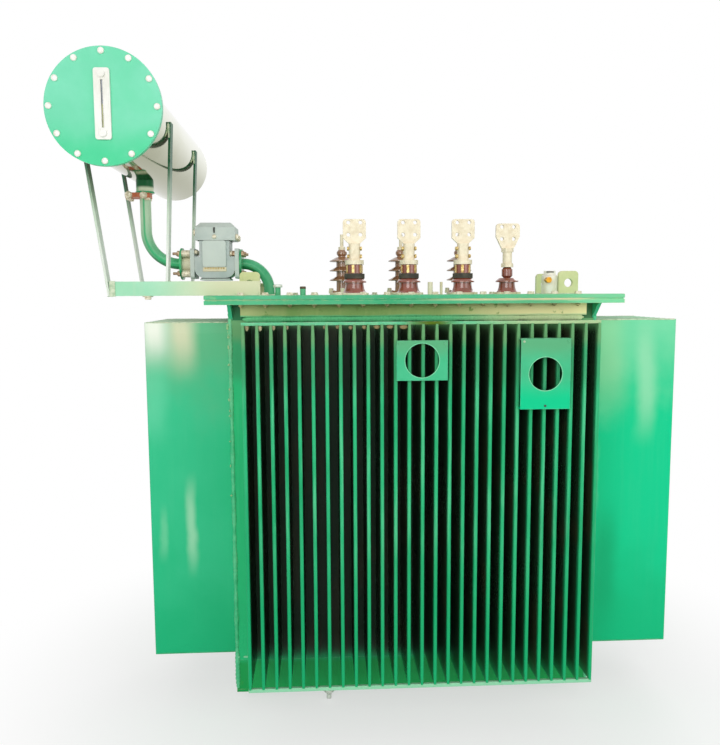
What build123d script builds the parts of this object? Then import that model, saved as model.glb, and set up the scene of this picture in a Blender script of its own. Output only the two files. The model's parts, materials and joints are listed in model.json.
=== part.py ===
# Oil-immersed power transformer with corrugated fin walls and an oil conservator.
# Millimetres. X runs along the tank, Y from front to back and Z up.
# The origin is on the floor under the tank's centre.
from build123d import *
from math import atan2, cos, hypot, asin, sin
import os

os.makedirs("parts", exist_ok=True)

# Shares that keep a rounding or chamfer within the piece it is cut on
fillet_limit_share = 0.45
chamfer_limit_share = 0.8

# Tank
tank_length = 1314.0
tank_width = 520.0
bottom_plate_thickness = 10.0
lower_band_height = 114.0
upper_band_height = 55.0
band_thickness = 8.0

# Corrugated fin walls
fin_wall_height = 1251.0
fin_sheet_thickness = 4.0
fin_pitch = 45.0
fin_thickness = 12.0
fin_tip_radius = 5.0
fin_end_margin = 8.0
fin_end_thickness = 8.0
fin_pinch_length = 40.0
front_fin_depth = 233.0
front_corner_strip = 72.0
left_fin_depth = 311.0
right_fin_depth = 334.0
side_fin_drop = 14.0
side_corner_strip = 80.0
count_rounding_share = 0.01
fin_bar_depth = 12.0
fin_bar_height = 8.0

# Flange, gasket and cover
flange_overhang = 74.0
flange_thickness = 14.0
gasket_thickness = 4.0
gasket_margin = 3.0
gasket_width = 40.0
cover_thickness = 14.0
cover_edge_chamfer = 2.0
gusset_thickness = 12.0
gusset_inset = 2.0
gusset_reach = 60.0
gusset_drop = 52.0
stiffener_inset = 44.0
stiffener_depth = 26.0
stiffener_height = 42.0

# Base channels
base_height = 65.0
base_channel_length = 1180.0
base_channel_width = 60.0
base_channel_thickness = 8.0
base_channel_spacing = 210.0
foundation_hole_spacing = 900.0
foundation_hole_diameter = 18.0

# Drain plug
drain_plug_from_end = 340.0
drain_plug_inset = 22.0
drain_plug_diameter = 44.0
drain_plug_collar = 30.0
drain_plug_cone = 12.0
drain_plug_stem_diameter = 18.0
drain_plug_stem = 17.0

# Thermometer plates on the front fins
thermometer_plate_thickness = 5.0
thermometer_return_thickness = 5.0
centre_plate_offset = 5.0
centre_plate_width = 168.0
centre_plate_height = 131.0
centre_plate_drop = 53.0
centre_plate_standoff = 6.0
centre_hole_diameter = 112.0
right_plate_from_end = 260.0
right_plate_width = 165.0
right_plate_height = 232.0
right_plate_drop = 48.0
right_plate_standoff = 28.0
right_hole_diameter = 110.0

# Conservator
conservator_reach = 259.0
conservator_rise = 577.0
conservator_radius = 147.0
conservator_wall = 4.0
conservator_front = 523.0
conservator_rear = 600.0
conservator_flange_radius = 178.0
conservator_flange_thickness = 10.0
conservator_cover_thickness = 8.0
conservator_rear_thickness = 8.0
conservator_rear_chamfer = 5.0
gauge_width = 49.0
gauge_height = 212.0
gauge_rise = 6.0
gauge_thickness = 8.0
gauge_rounding = 8.0
gauge_slot_width = 10.0
gauge_slot_height = 142.0
gauge_glass_thickness = 4.0
gauge_boss_diameter = 22.0
gauge_boss_height = 6.0
gauge_boss_inset = 18.0

# Beams and legs that carry the conservator
support_inset = 80.0
beam_overhang = 329.0
beam_seat = 188.0
beam_height = 50.0
beam_width = 40.0
beam_thickness = 5.0
leg_width = 40.0
leg_thickness = 8.0
right_leg_offset = 122.0
leg_top_above_centre = 10.0

# Oil line from the conservator to the cover
outlet_diameter = 64.0
outlet_length = 46.0
valve_length = 93.0
valve_width = 62.0
valve_thickness = 18.0
valve_end_radius = 16.0
valve_offset = 24.0
pipe_diameter = 41.0
pipe_axis_rise = 120.0
upper_bend_radius = 125.0
upper_flange_diameter = 120.0
upper_flange_thickness = 7.0
adapter_diameter = 66.0
adapter_thickness = 34.0
relay_flange_side = 112.0
relay_flange_rounding = 12.0
relay_flange_thickness = 15.0
relay_offset = 170.0
relay_body_length = 151.0
relay_body_width = 104.0
relay_body_rise = 86.0
relay_body_drop = 54.0
relay_bowl_rise = 26.0
relay_bowl_rounding = 36.0
relay_neck_length = 112.0
relay_lid_length = 148.0
relay_lid_offset = 5.0
relay_lid_width = 118.0
relay_lid_height = 66.0
relay_lid_chamfer = 18.0
relay_window_length = 87.0
relay_window_height = 98.0
relay_window_thickness = 7.0
relay_window_rounding = 8.0
relay_window_gap = 1.0
pipe_flange_diameter = 110.0
pipe_flange_thickness = 9.0
lower_run = 1.0
lower_bend_radius = 99.0

# Lifting lugs and filler valve
lug_from_end = 154.0
rear_lug_from_end = 118.0
lug_beam_gap = 21.0
lug_width = 72.0
lug_height = 83.0
lug_thickness = 16.0
lug_hole_diameter = 31.0
lug_hole_height = 40.0
lug_corner_radius = 14.0
filler_from_lug = 68.0
filler_diameter = 56.0
filler_height = 70.0
filler_lid_diameter = 42.0
filler_lid_height = 13.0
filler_chamfer = 5.0
filler_plug_diameter = 22.0
filler_plug_reach = 14.0
filler_plug_height = 50.0
filler_plug_offset = 14.0

# Middle of both bushing rows and of the lugs, left of the tank's middle
active_part_offset = 8.0

# Low-voltage bushings
lv_row_y = -150.0
lv_pitch_share = 0.1368
lv_count = 3
lv_base_diameter = 90.0
lv_base_rim = 7.0
lv_base_height = 44.0
lv_foot_curve_shares = ((0.5, 0.22), (0.18, 0.55))
lv_waist_diameter = 66.0
lv_shed_diameter = 86.0
lv_shed_height = 15.0
lv_shed_rim = 5.0
lv_gasket_diameter = 74.0
lv_gasket_height = 18.0
lv_head_diameter = 58.0
lv_head_height = 33.0
lv_cap_diameter = 68.0
lv_cap_height = 16.0
lv_clamp_width = 42.0
lv_clamp_depth = 36.0
lv_clamp_height = 60.0
lv_clamp_rounding = 15.0
lv_flag_width = 84.0
lv_flag_height = 88.0
lv_flag_shoulder = 20.0
lv_flag_thickness = 12.0
lv_flag_hole_spacing = 44.0
lv_flag_hole_diameter = 14.0
lv_flag_hole_drop = 34.0
lv_flag_rounding = 12.0

# Neutral bushing
neutral_gap_share = 0.1135
neutral_base_diameter = 78.0
neutral_waist_diameter = 58.0
neutral_shed_diameter = 83.0
neutral_ball_diameter = 40.0
neutral_ball_seat_diameter = 24.0
neutral_stem_diameter = 34.0
neutral_stem_height = 69.0
neutral_nut_diameter = 46.0
neutral_nut_height = 14.0
neutral_flag_width = 88.0
neutral_flag_neck = 46.0
neutral_flag_height = 90.0
neutral_flag_taper = 42.0

# High-voltage bushings
hv_row_y = 130.0
hv_pitch_share = 0.1628
hv_count = 3
hv_base_diameter = 84.0
hv_base_height = 16.0
hv_body_diameter = 46.0
hv_neck_height = 40.0
hv_shed_diameter = 100.0
hv_shed_pitch = 38.0
hv_shed_rim = 4.0
hv_shed_droop = 8.0
hv_shed_root = 18.0
hv_shed_count = 3
hv_knob_diameter = 42.0
hv_knob_height = 25.0
hv_knob_bevel = 8.0
hv_knob_neck_diameter = 30.0
hv_knob_neck_height = 4.0
hv_nut_diameter = 28.0
hv_nut_height = 12.0
hv_stud_diameter = 14.0
hv_stud_height = 34.0

# Small posts and studs on the cover
plug_diameter = 20.0
plug_height = 28.0
plug_cap_diameter = 32.0
plug_cap_height = 10.0
plug_from_end = 244.0
plug_y = -190.0
post_diameter = 20.0
post_height = 30.0
post_from_end = 336.0
post_y = -270.0
stud_pair_from_bushing = 90.0
stud_pair_spacing = 40.0
stud_pair_y = -215.0
thick_stud_diameter = 18.0
thin_stud_diameter = 10.0
stud_pair_height = 45.0

# Levels worked out from the sizes above
lower_band_z = base_height + bottom_plate_thickness
fin_wall_z = lower_band_z + lower_band_height
upper_band_z = fin_wall_z + fin_wall_height
flange_z = upper_band_z + upper_band_height
gasket_z = flange_z + flange_thickness
cover_z = gasket_z + gasket_thickness
cover_top_z = cover_z + cover_thickness
cover_length = tank_length + 2 * flange_overhang
cover_width = tank_width + 2 * flange_overhang
fin_front = tank_width / 2 + front_fin_depth
fin_bottom_z = fin_wall_z + fin_end_margin
fin_top_z = upper_band_z - fin_end_margin
conservator_x = -(cover_length / 2 + conservator_reach)
conservator_z = cover_top_z + conservator_rise
pipe_axis_z = cover_top_z + pipe_axis_rise
support_spacing = cover_width - 2 * support_inset
front_lug_span = cover_length - 2 * lug_from_end
rear_lug_span = cover_length - 2 * rear_lug_from_end
lug_y = support_spacing / 2 - beam_width / 2 - lug_beam_gap - lug_thickness / 2
front_fin_count = int((tank_length - 2 * front_corner_strip) / fin_pitch + count_rounding_share) + 1
side_fin_count = int((tank_width - 2 * side_corner_strip) / fin_pitch + count_rounding_share) + 1


def save(piece, name):
    """Label a finished piece and write it as a STEP file."""
    piece.part.label = name
    export_step(piece.part, f"parts/{name}.step")


def front_rear_pair(level, height, length, width, outer_width):
    """Two bars along X whose outer faces are outer_width apart."""
    with BuildPart() as pair:
        with BuildSketch(Plane.XY.offset(level)):
            with GridLocations(length, outer_width - width, 1, 2):
                Rectangle(length, width)
        extrude(amount=height)
    return pair


def left_right_pair(level, height, width, length, outer_length):
    """Two bars along Y whose outer faces are outer_length apart."""
    with BuildPart() as pair:
        with BuildSketch(Plane.XY.offset(level)):
            with GridLocations(outer_length - width, length, 2, 1):
                Rectangle(width, length)
        extrude(amount=height)
    return pair


def fin_wall(along, face_distance, sheet_length, fin_count, fin_depth, fin_foot_z):
    """A corrugated wall: a sheet with folded fins, round at their tips and pinched at their ends."""
    outwards = Vector(*along).cross(Vector(0, 0, 1))
    fin_height = fin_top_z - fin_foot_z
    fin_plan = Plane(origin=(0, 0, fin_foot_z), x_dir=along, z_dir=(0, 0, 1))
    sheet_plan = Plane(origin=(0, 0, fin_wall_z), x_dir=along, z_dir=(0, 0, 1))
    elevation = Plane(origin=(0, 0, fin_foot_z + fin_height / 2), x_dir=along, z_dir=outwards)
    half_height = fin_height / 2
    pinch_start = half_height - fin_pinch_length
    tip_radius = min(fin_tip_radius, fillet_limit_share * fin_thickness)
    with BuildPart() as wall:
        with BuildSketch(fin_plan) as fins:
            with Locations((0, -face_distance - fin_depth / 2)):
                with GridLocations(fin_pitch, fin_pitch, fin_count, 1):
                    Rectangle(fin_thickness, fin_depth)
            fillet(fins.vertices().group_by(Axis.Y)[0], radius=tip_radius)
        extrude(amount=fin_height)
        with BuildSketch(elevation):
            with GridLocations(fin_pitch, fin_pitch, fin_count, 1):
                Polygon(
                    (-fin_end_thickness / 2, -half_height),
                    (fin_end_thickness / 2, -half_height),
                    (fin_thickness / 2, -pinch_start),
                    (fin_thickness / 2, pinch_start),
                    (fin_end_thickness / 2, half_height),
                    (-fin_end_thickness / 2, half_height),
                    (-fin_thickness / 2, pinch_start),
                    (-fin_thickness / 2, -pinch_start),
                )
        extrude(amount=face_distance + 2 * fin_depth, mode=Mode.INTERSECT)
        with BuildSketch(sheet_plan):
            with Locations((0, fin_sheet_thickness / 2 - face_distance)):
                Rectangle(sheet_length, fin_sheet_thickness)
        extrude(amount=fin_wall_height)
    return wall


# Base channels: open towards each other, with foundation holes through the lower flanges
with BuildPart() as base_channel_front:
    channel_y = -base_channel_spacing / 2
    web_y = channel_y - base_channel_width / 2 + base_channel_thickness / 2
    with BuildSketch(Plane.XY):
        with Locations((0, channel_y)):
            Rectangle(base_channel_length, base_channel_width)
        with GridLocations(foundation_hole_spacing, base_channel_spacing, 2, 2):
            Circle(foundation_hole_diameter / 2, mode=Mode.SUBTRACT)
    extrude(amount=base_channel_thickness)
    with BuildSketch(Plane.XY.offset(base_channel_thickness)):
        with Locations((0, web_y)):
            Rectangle(base_channel_length, base_channel_thickness)
    extrude(amount=base_height - 2 * base_channel_thickness)
    with BuildSketch(Plane.XY.offset(base_height - base_channel_thickness)):
        with Locations((0, channel_y)):
            Rectangle(base_channel_length, base_channel_width)
    extrude(amount=base_channel_thickness)
save(base_channel_front, "base_channel_front")

with BuildPart() as base_channel_rear:
    mirror(base_channel_front.part, about=Plane.XZ)
save(base_channel_rear, "base_channel_rear")

# Tank: bottom plate, bands and corrugated walls
with BuildPart() as bottom_plate:
    with BuildSketch(Plane.XY.offset(base_height)):
        Rectangle(tank_length, tank_width)
    extrude(amount=bottom_plate_thickness)
save(bottom_plate, "bottom_plate")

inner_band_length = tank_width - 2 * band_thickness
for place, band_z, band_height in (
    ("lower", lower_band_z, lower_band_height),
    ("upper", upper_band_z, upper_band_height),
):
    long_bands = front_rear_pair(band_z, band_height, tank_length, band_thickness, tank_width)
    save(long_bands, f"{place}_bands_front_rear")
    short_bands = left_right_pair(band_z, band_height, band_thickness, inner_band_length, tank_length)
    save(short_bands, f"{place}_bands_left_right")

side_sheet_length = tank_width - 2 * fin_sheet_thickness
side_fin_z = fin_bottom_z - side_fin_drop
for place, along in (("front", (1, 0, 0)), ("rear", (-1, 0, 0))):
    long_wall = fin_wall(along, tank_width / 2, tank_length, front_fin_count, front_fin_depth, fin_bottom_z)
    save(long_wall, f"{place}_fin_wall")
for place, along, fin_depth in (("left", (0, -1, 0), left_fin_depth), ("right", (0, 1, 0), right_fin_depth)):
    short_wall = fin_wall(along, tank_length / 2, side_sheet_length, side_fin_count, fin_depth, side_fin_z)
    save(short_wall, f"{place}_fin_wall")

# Flat bars welded across the ends of the long walls' fins
fin_bar_length = (front_fin_count - 1) * fin_pitch + fin_thickness
fin_bar_outer = 2 * (fin_front - fin_tip_radius)
with BuildPart() as fin_bars:
    for bar_z in (fin_bottom_z - fin_bar_height, fin_top_z):
        with BuildSketch(Plane.XY.offset(bar_z)):
            with GridLocations(fin_bar_length, fin_bar_outer - fin_bar_depth, 1, 2):
                Rectangle(fin_bar_length, fin_bar_depth)
        extrude(amount=fin_bar_height)
save(fin_bars, "fin_bars")

# Triangular gussets under the flange at the tank's corners
gusset_x = tank_length / 2 - gusset_inset - gusset_thickness / 2
with BuildPart() as corner_gussets:
    for side_x in (-gusset_x, gusset_x):
        with BuildSketch(Plane.YZ.offset(side_x)):
            for way in (-1, 1):
                wall_y = way * tank_width / 2
                with BuildLine():
                    Polyline(
                        (wall_y, flange_z),
                        (wall_y + way * gusset_reach, flange_z),
                        (wall_y, flange_z - gusset_drop),
                        close=True,
                    )
                make_face()
        extrude(amount=gusset_thickness / 2, both=True)
save(corner_gussets, "corner_gussets")

# Bars that stiffen the tank's long walls under the flange
stiffener_z = flange_z - stiffener_height
stiffener_length = tank_length - 2 * stiffener_inset
stiffener_outer = tank_width + 2 * stiffener_depth
stiffeners = front_rear_pair(stiffener_z, stiffener_height, stiffener_length, stiffener_depth, stiffener_outer)
save(stiffeners, "upper_stiffeners")

# Flange bars, gasket and cover
flange_width = flange_overhang + band_thickness
flange_side_length = cover_width - 2 * flange_width
long_flanges = front_rear_pair(flange_z, flange_thickness, cover_length, flange_width, cover_width)
save(long_flanges, "top_flange_front_rear")
short_flanges = left_right_pair(flange_z, flange_thickness, flange_width, flange_side_length, cover_length)
save(short_flanges, "top_flange_left_right")

with BuildPart() as cover_gasket:
    with BuildSketch(Plane.XY.offset(gasket_z)):
        Rectangle(cover_length - 2 * gasket_margin, cover_width - 2 * gasket_margin)
        gasket_reach = gasket_margin + gasket_width
        Rectangle(cover_length - 2 * gasket_reach, cover_width - 2 * gasket_reach, mode=Mode.SUBTRACT)
    extrude(amount=gasket_thickness)
save(cover_gasket, "cover_gasket")

with BuildPart() as cover:
    with BuildSketch(Plane.XY.offset(cover_z)):
        Rectangle(cover_length, cover_width)
    extrude(amount=cover_thickness)
    chamfer(cover.faces().sort_by(Axis.Z)[-1].edges(), length=cover_edge_chamfer)
save(cover, "cover")

# Drain plug under the bottom plate
drain_plug_x = drain_plug_from_end - tank_length / 2
drain_plug_y = drain_plug_inset + drain_plug_diameter / 2 - tank_width / 2
drain_plug_place = (drain_plug_x, drain_plug_y)
drain_cone_z = base_height - drain_plug_collar - drain_plug_cone
with BuildPart() as drain_plug:
    with BuildSketch(Plane.XY.offset(base_height - drain_plug_collar)):
        with Locations(drain_plug_place):
            RegularPolygon(drain_plug_diameter / 2, 6)
    extrude(amount=drain_plug_collar)
    with BuildSketch(Plane.XY.offset(base_height - drain_plug_collar)):
        with Locations(drain_plug_place):
            RegularPolygon(drain_plug_diameter / 2, 6)
    with BuildSketch(Plane.XY.offset(drain_cone_z)):
        with Locations(drain_plug_place):
            RegularPolygon(drain_plug_stem_diameter / 2, 6)
    loft()
    with BuildSketch(Plane.XY.offset(drain_cone_z)):
        with Locations(drain_plug_place):
            RegularPolygon(drain_plug_stem_diameter / 2, 6)
    extrude(amount=-drain_plug_stem)
save(drain_plug, "drain_plug")


def thermometer_plate(centre_x, top_drop, width, height, standoff, hole_diameter):
    """A plate with a round instrument hole, folded back at its top and bottom edges onto the fin tips."""
    centre_z = fin_top_z - top_drop - height / 2
    plate_plane = Plane.XZ.offset(fin_front + standoff)
    with BuildPart() as plate:
        with BuildSketch(plate_plane):
            with Locations((centre_x, centre_z)):
                Rectangle(width, height)
                Circle(hole_diameter / 2, mode=Mode.SUBTRACT)
        extrude(amount=thermometer_plate_thickness)
        with BuildSketch(plate_plane):
            with Locations((centre_x, centre_z)):
                with GridLocations(width, height - thermometer_return_thickness, 1, 2):
                    Rectangle(width, thermometer_return_thickness)
        extrude(amount=-standoff)
    return plate


save(
    thermometer_plate(
        -centre_plate_offset,
        centre_plate_drop,
        centre_plate_width,
        centre_plate_height,
        centre_plate_standoff,
        centre_hole_diameter,
    ),
    "thermometer_plate_centre",
)
save(
    thermometer_plate(
        tank_length / 2 - right_plate_from_end,
        right_plate_drop,
        right_plate_width,
        right_plate_height,
        right_plate_standoff,
        right_hole_diameter,
    ),
    "thermometer_plate_right",
)

# Conservator: a tube along Y with a bolted front cover and a welded rear end
conservator_centre = (conservator_x, conservator_z)
shell_front = conservator_front - conservator_cover_thickness
with BuildPart() as conservator_shell:
    with BuildSketch(Plane.XZ.offset(shell_front)):
        with Locations(conservator_centre):
            Circle(conservator_radius)
            Circle(conservator_radius - conservator_wall, mode=Mode.SUBTRACT)
    extrude(amount=-(shell_front + conservator_rear - conservator_rear_thickness))
save(conservator_shell, "conservator_shell")

with BuildPart() as conservator_front_flange:
    with BuildSketch(Plane.XZ.offset(shell_front)):
        with Locations(conservator_centre):
            Circle(conservator_flange_radius)
            Circle(conservator_radius, mode=Mode.SUBTRACT)
    extrude(amount=-conservator_flange_thickness)
save(conservator_front_flange, "conservator_front_flange")

with BuildPart() as conservator_front_cover:
    with BuildSketch(Plane.XZ.offset(shell_front)):
        with Locations(conservator_centre):
            Circle(conservator_flange_radius)
    extrude(amount=conservator_cover_thickness)
save(conservator_front_cover, "conservator_front_cover")

with BuildPart() as conservator_rear_end:
    with BuildSketch(Plane.XZ.offset(conservator_rear_thickness - conservator_rear)):
        with Locations(conservator_centre):
            Circle(conservator_radius)
    extrude(amount=-conservator_rear_thickness)
    chamfer(
        conservator_rear_end.faces().sort_by(Axis.Y)[-1].edges(),
        length=min(conservator_rear_chamfer, chamfer_limit_share * conservator_rear_thickness),
    )
save(conservator_rear_end, "conservator_rear_end")

gauge_centre = (conservator_x, conservator_z + gauge_rise)
gauge_boss_spacing = gauge_height - 2 * gauge_boss_inset
with BuildPart() as oil_gauge_frame:
    with BuildSketch(Plane.XZ.offset(conservator_front)) as gauge_outline:
        with Locations(gauge_centre):
            Rectangle(gauge_width, gauge_height)
        fillet(gauge_outline.vertices(), radius=min(gauge_rounding, fillet_limit_share * gauge_width))
        with Locations(gauge_centre):
            Rectangle(gauge_slot_width, gauge_slot_height, mode=Mode.SUBTRACT)
    extrude(amount=gauge_thickness)
    with BuildSketch(Plane.XZ.offset(conservator_front + gauge_thickness)):
        with Locations(gauge_centre):
            with GridLocations(gauge_boss_spacing, gauge_boss_spacing, 1, 2):
                Circle(gauge_boss_diameter / 2)
    extrude(amount=gauge_boss_height)
save(oil_gauge_frame, "oil_gauge_frame")

with BuildPart() as oil_gauge_glass:
    with BuildSketch(Plane.XZ.offset(conservator_front)):
        with Locations(gauge_centre):
            Rectangle(gauge_slot_width, gauge_slot_height)
    extrude(amount=gauge_glass_thickness)
save(oil_gauge_glass, "oil_gauge_glass")


def beam(way):
    """A channel on the cover that reaches out under the conservator, its web facing outwards."""
    centre_y = way * support_spacing / 2
    middle_x = -(cover_length - beam_seat + beam_overhang) / 2
    length = beam_overhang + beam_seat
    with BuildPart() as channel:
        with BuildSketch(Plane.XY.offset(cover_top_z)):
            with Locations((middle_x, centre_y)):
                Rectangle(length, beam_width)
        extrude(amount=beam_height)
        with BuildSketch(Plane.XY.offset(cover_top_z + beam_thickness)):
            with Locations((middle_x, centre_y - way * beam_thickness)):
                Rectangle(length, beam_width)
        extrude(amount=beam_height - 2 * beam_thickness, mode=Mode.SUBTRACT)
    return channel


save(beam(-1), "beam_front")
save(beam(1), "beam_rear")


def leg(centre_y, foot_x, foot_z, outwards):
    """A flat bar that leans from its foot to lie tangent against the side of the conservator."""
    to_centre_x = (conservator_x - foot_x) * outwards
    to_centre_z = conservator_z - foot_z
    distance = hypot(to_centre_x, to_centre_z)
    lean = atan2(to_centre_x, to_centre_z) + asin(conservator_radius / distance)
    length = (to_centre_z + leg_top_above_centre) / cos(lean)
    top_x = foot_x + outwards * length * sin(lean)
    top_z = foot_z + length * cos(lean)
    step_x = outwards * leg_thickness / cos(lean)
    with BuildPart() as bar:
        with BuildSketch(Plane.XZ.offset(-centre_y)):
            with BuildLine():
                Polyline(
                    (foot_x, foot_z),
                    (foot_x + step_x, foot_z),
                    (top_x + step_x, top_z),
                    (top_x, top_z),
                    close=True,
                )
            make_face()
        extrude(amount=leg_width / 2, both=True)
    return bar


beam_top_z = cover_top_z + beam_height
for way, place in ((-1, "front"), (1, "rear")):
    support_y = way * support_spacing / 2
    save(leg(support_y, -cover_length / 2 - beam_overhang, cover_top_z, -1), f"{place}_left_leg")
    save(leg(support_y, conservator_x + right_leg_offset, beam_top_z, 1), f"{place}_right_leg")

# Oil line: outlet stub, valve flange, bent pipe, relay and the pipe down into the cover
outlet_bottom_z = conservator_z - conservator_radius - outlet_length
with BuildPart() as conservator_outlet:
    with BuildSketch(Plane.XY.offset(outlet_bottom_z)):
        with Locations((conservator_x, 0)):
            Circle(outlet_diameter / 2)
    extrude(amount=outlet_length + conservator_radius / 2)
    with BuildSketch(Plane.XZ.offset(-outlet_diameter)):
        with Locations(conservator_centre):
            Circle(conservator_radius)
    extrude(amount=2 * outlet_diameter, mode=Mode.SUBTRACT)
save(conservator_outlet, "conservator_outlet")

valve_bottom_z = outlet_bottom_z - valve_thickness
with BuildPart() as isolating_valve:
    with BuildSketch(Plane.XY.offset(valve_bottom_z)) as valve_outline:
        with Locations((conservator_x - valve_offset, 0)):
            Rectangle(valve_length, valve_width)
        fillet(valve_outline.vertices(), radius=min(valve_end_radius, fillet_limit_share * valve_width))
    extrude(amount=valve_thickness)
save(isolating_valve, "isolating_valve")

relay_left = conservator_x + relay_offset
adapter_left = relay_left - adapter_thickness
upper_pipe_end = adapter_left - upper_flange_thickness
with BuildPart() as upper_oil_pipe:
    with BuildLine(Plane.XZ) as upper_route:
        FilletPolyline(
            (conservator_x, valve_bottom_z),
            (conservator_x, pipe_axis_z),
            (upper_pipe_end, pipe_axis_z),
            radius=upper_bend_radius,
        )
    with BuildSketch(Plane(origin=(conservator_x, 0, valve_bottom_z), z_dir=(0, 0, -1))):
        Circle(pipe_diameter / 2)
    sweep(path=upper_route.line)
    with BuildSketch(Plane.YZ.offset(upper_pipe_end)):
        with Locations((0, pipe_axis_z)):
            Circle(upper_flange_diameter / 2)
    extrude(amount=upper_flange_thickness)
save(upper_oil_pipe, "upper_oil_pipe")

relay_body_left = relay_left + relay_flange_thickness
relay_body_right = relay_body_left + relay_body_length
relay_right = relay_body_right + relay_flange_thickness
relay_middle_x = (relay_body_left + relay_body_right) / 2
with BuildPart() as relay_adapter:
    with BuildSketch(Plane.YZ.offset(adapter_left)):
        with Locations((0, pipe_axis_z)):
            Circle(adapter_diameter / 2)
    extrude(amount=adapter_thickness)
save(relay_adapter, "relay_adapter")

with BuildPart() as relay_flanges:
    for flange_left in (relay_left, relay_body_right):
        with BuildSketch(Plane.YZ.offset(flange_left)) as flange_outline:
            with Locations((0, pipe_axis_z)):
                Rectangle(relay_flange_side, relay_flange_side)
            fillet(flange_outline.vertices(), radius=relay_flange_rounding)
        extrude(amount=relay_flange_thickness)
save(relay_flanges, "relay_flanges")

relay_bowl_height = relay_bowl_rise + relay_body_drop
relay_neck_height = relay_body_rise - relay_bowl_rise
with BuildPart() as relay_body:
    with BuildSketch(Plane.XZ) as bowl_outline:
        with Locations((relay_middle_x, pipe_axis_z + relay_bowl_rise - relay_bowl_height / 2)):
            Rectangle(relay_body_length, relay_bowl_height)
        fillet(
            bowl_outline.vertices().group_by(Axis.Y)[0],
            radius=min(relay_bowl_rounding, fillet_limit_share * relay_bowl_height),
        )
        with Locations((relay_middle_x, pipe_axis_z + relay_bowl_rise + relay_neck_height / 2)):
            Rectangle(relay_neck_length, relay_neck_height)
    extrude(amount=relay_body_width / 2, both=True)
save(relay_body, "relay_body")

relay_lid_z = pipe_axis_z + relay_body_rise
with BuildPart() as relay_lid:
    with BuildSketch(Plane.XY.offset(relay_lid_z)):
        with Locations((relay_middle_x + relay_lid_offset, 0)):
            Rectangle(relay_lid_length, relay_lid_width)
    extrude(amount=relay_lid_height)
    chamfer(relay_lid.faces().sort_by(Axis.Z)[-1].edges(), length=relay_lid_chamfer)
save(relay_lid, "relay_lid")

with BuildPart() as relay_window:
    with BuildSketch(Plane.XZ.offset(relay_body_width / 2)) as window_outline:
        with Locations((relay_middle_x, relay_lid_z - relay_window_gap - relay_window_height / 2)):
            Rectangle(relay_window_length, relay_window_height)
        fillet(window_outline.vertices(), radius=relay_window_rounding)
    extrude(amount=relay_window_thickness)
save(relay_window, "relay_window")

lower_pipe_left = relay_right + pipe_flange_thickness
lower_pipe_x = lower_pipe_left + lower_run + lower_bend_radius
with BuildPart() as lower_oil_pipe:
    with BuildSketch(Plane.YZ.offset(relay_right)):
        with Locations((0, pipe_axis_z)):
            Circle(pipe_flange_diameter / 2)
    extrude(amount=pipe_flange_thickness)
    with BuildLine(Plane.XZ) as lower_route:
        FilletPolyline(
            (lower_pipe_left, pipe_axis_z),
            (lower_pipe_x, pipe_axis_z),
            (lower_pipe_x, cover_top_z),
            radius=lower_bend_radius,
        )
    with BuildSketch(Plane(origin=(lower_pipe_left, 0, pipe_axis_z), z_dir=(1, 0, 0))):
        Circle(pipe_diameter / 2)
    sweep(path=lower_route.line)
save(lower_oil_pipe, "lower_oil_pipe")

# Lifting lugs near the corners of the cover
with BuildPart() as lifting_lugs:
    for way, lug_span in ((-1, front_lug_span), (1, rear_lug_span)):
        with BuildSketch(Plane.XZ.offset(-way * lug_y)) as lug_outline:
            with Locations((-active_part_offset, cover_top_z + lug_height / 2)):
                with GridLocations(lug_span, lug_height, 2, 1):
                    Rectangle(lug_width, lug_height)
            fillet(lug_outline.vertices().group_by(Axis.Y)[-1], radius=lug_corner_radius)
            with Locations((-active_part_offset, cover_top_z + lug_hole_height)):
                with GridLocations(lug_span, lug_height, 2, 1):
                    Circle(lug_hole_diameter / 2, mode=Mode.SUBTRACT)
        extrude(amount=lug_thickness / 2, both=True)
save(lifting_lugs, "lifting_lugs")

# Filler valve beside the front right lug, with a lid and a side plug
filler_place = (front_lug_span / 2 - active_part_offset - filler_from_lug, -lug_y)
with BuildPart() as filler_valve:
    with BuildSketch(Plane.XY.offset(cover_top_z)):
        with Locations(filler_place):
            Circle(filler_diameter / 2)
    extrude(amount=filler_height)
    chamfer(filler_valve.edges().group_by(Axis.Z)[-1], length=filler_chamfer)
    with BuildSketch(Plane.XY.offset(cover_top_z + filler_height)):
        with Locations(filler_place):
            Circle(filler_lid_diameter / 2)
    extrude(amount=filler_lid_height)
save(filler_valve, "filler_valve")

filler_front = lug_y + filler_diameter / 2
with BuildPart() as filler_plug:
    with BuildSketch(Plane.XZ.offset(filler_front - filler_plug_reach)):
        with Locations((filler_place[0] - filler_plug_offset, cover_top_z + filler_plug_height)):
            RegularPolygon(filler_plug_diameter / 2, 6)
    extrude(amount=2 * filler_plug_reach)
    with BuildSketch(Plane.XY.offset(cover_top_z)):
        with Locations(filler_place):
            Circle(filler_diameter / 2)
    extrude(amount=filler_height, mode=Mode.SUBTRACT)
save(filler_plug, "filler_plug")


def turned(outline):
    """A solid of revolution about Z from a closed outline of radius and height pairs."""
    with BuildPart() as form:
        with BuildSketch(Plane.XZ):
            with BuildLine():
                Polyline(*outline, close=True)
            make_face()
        revolve(axis=Axis.Z)
    return form


def placed(form, places, level):
    """Copies of one form standing at each place on a level."""
    with BuildPart() as copies:
        with Locations(*[(place_x, place_y, level) for place_x, place_y in places]):
            add(form.part)
    return copies


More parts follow.
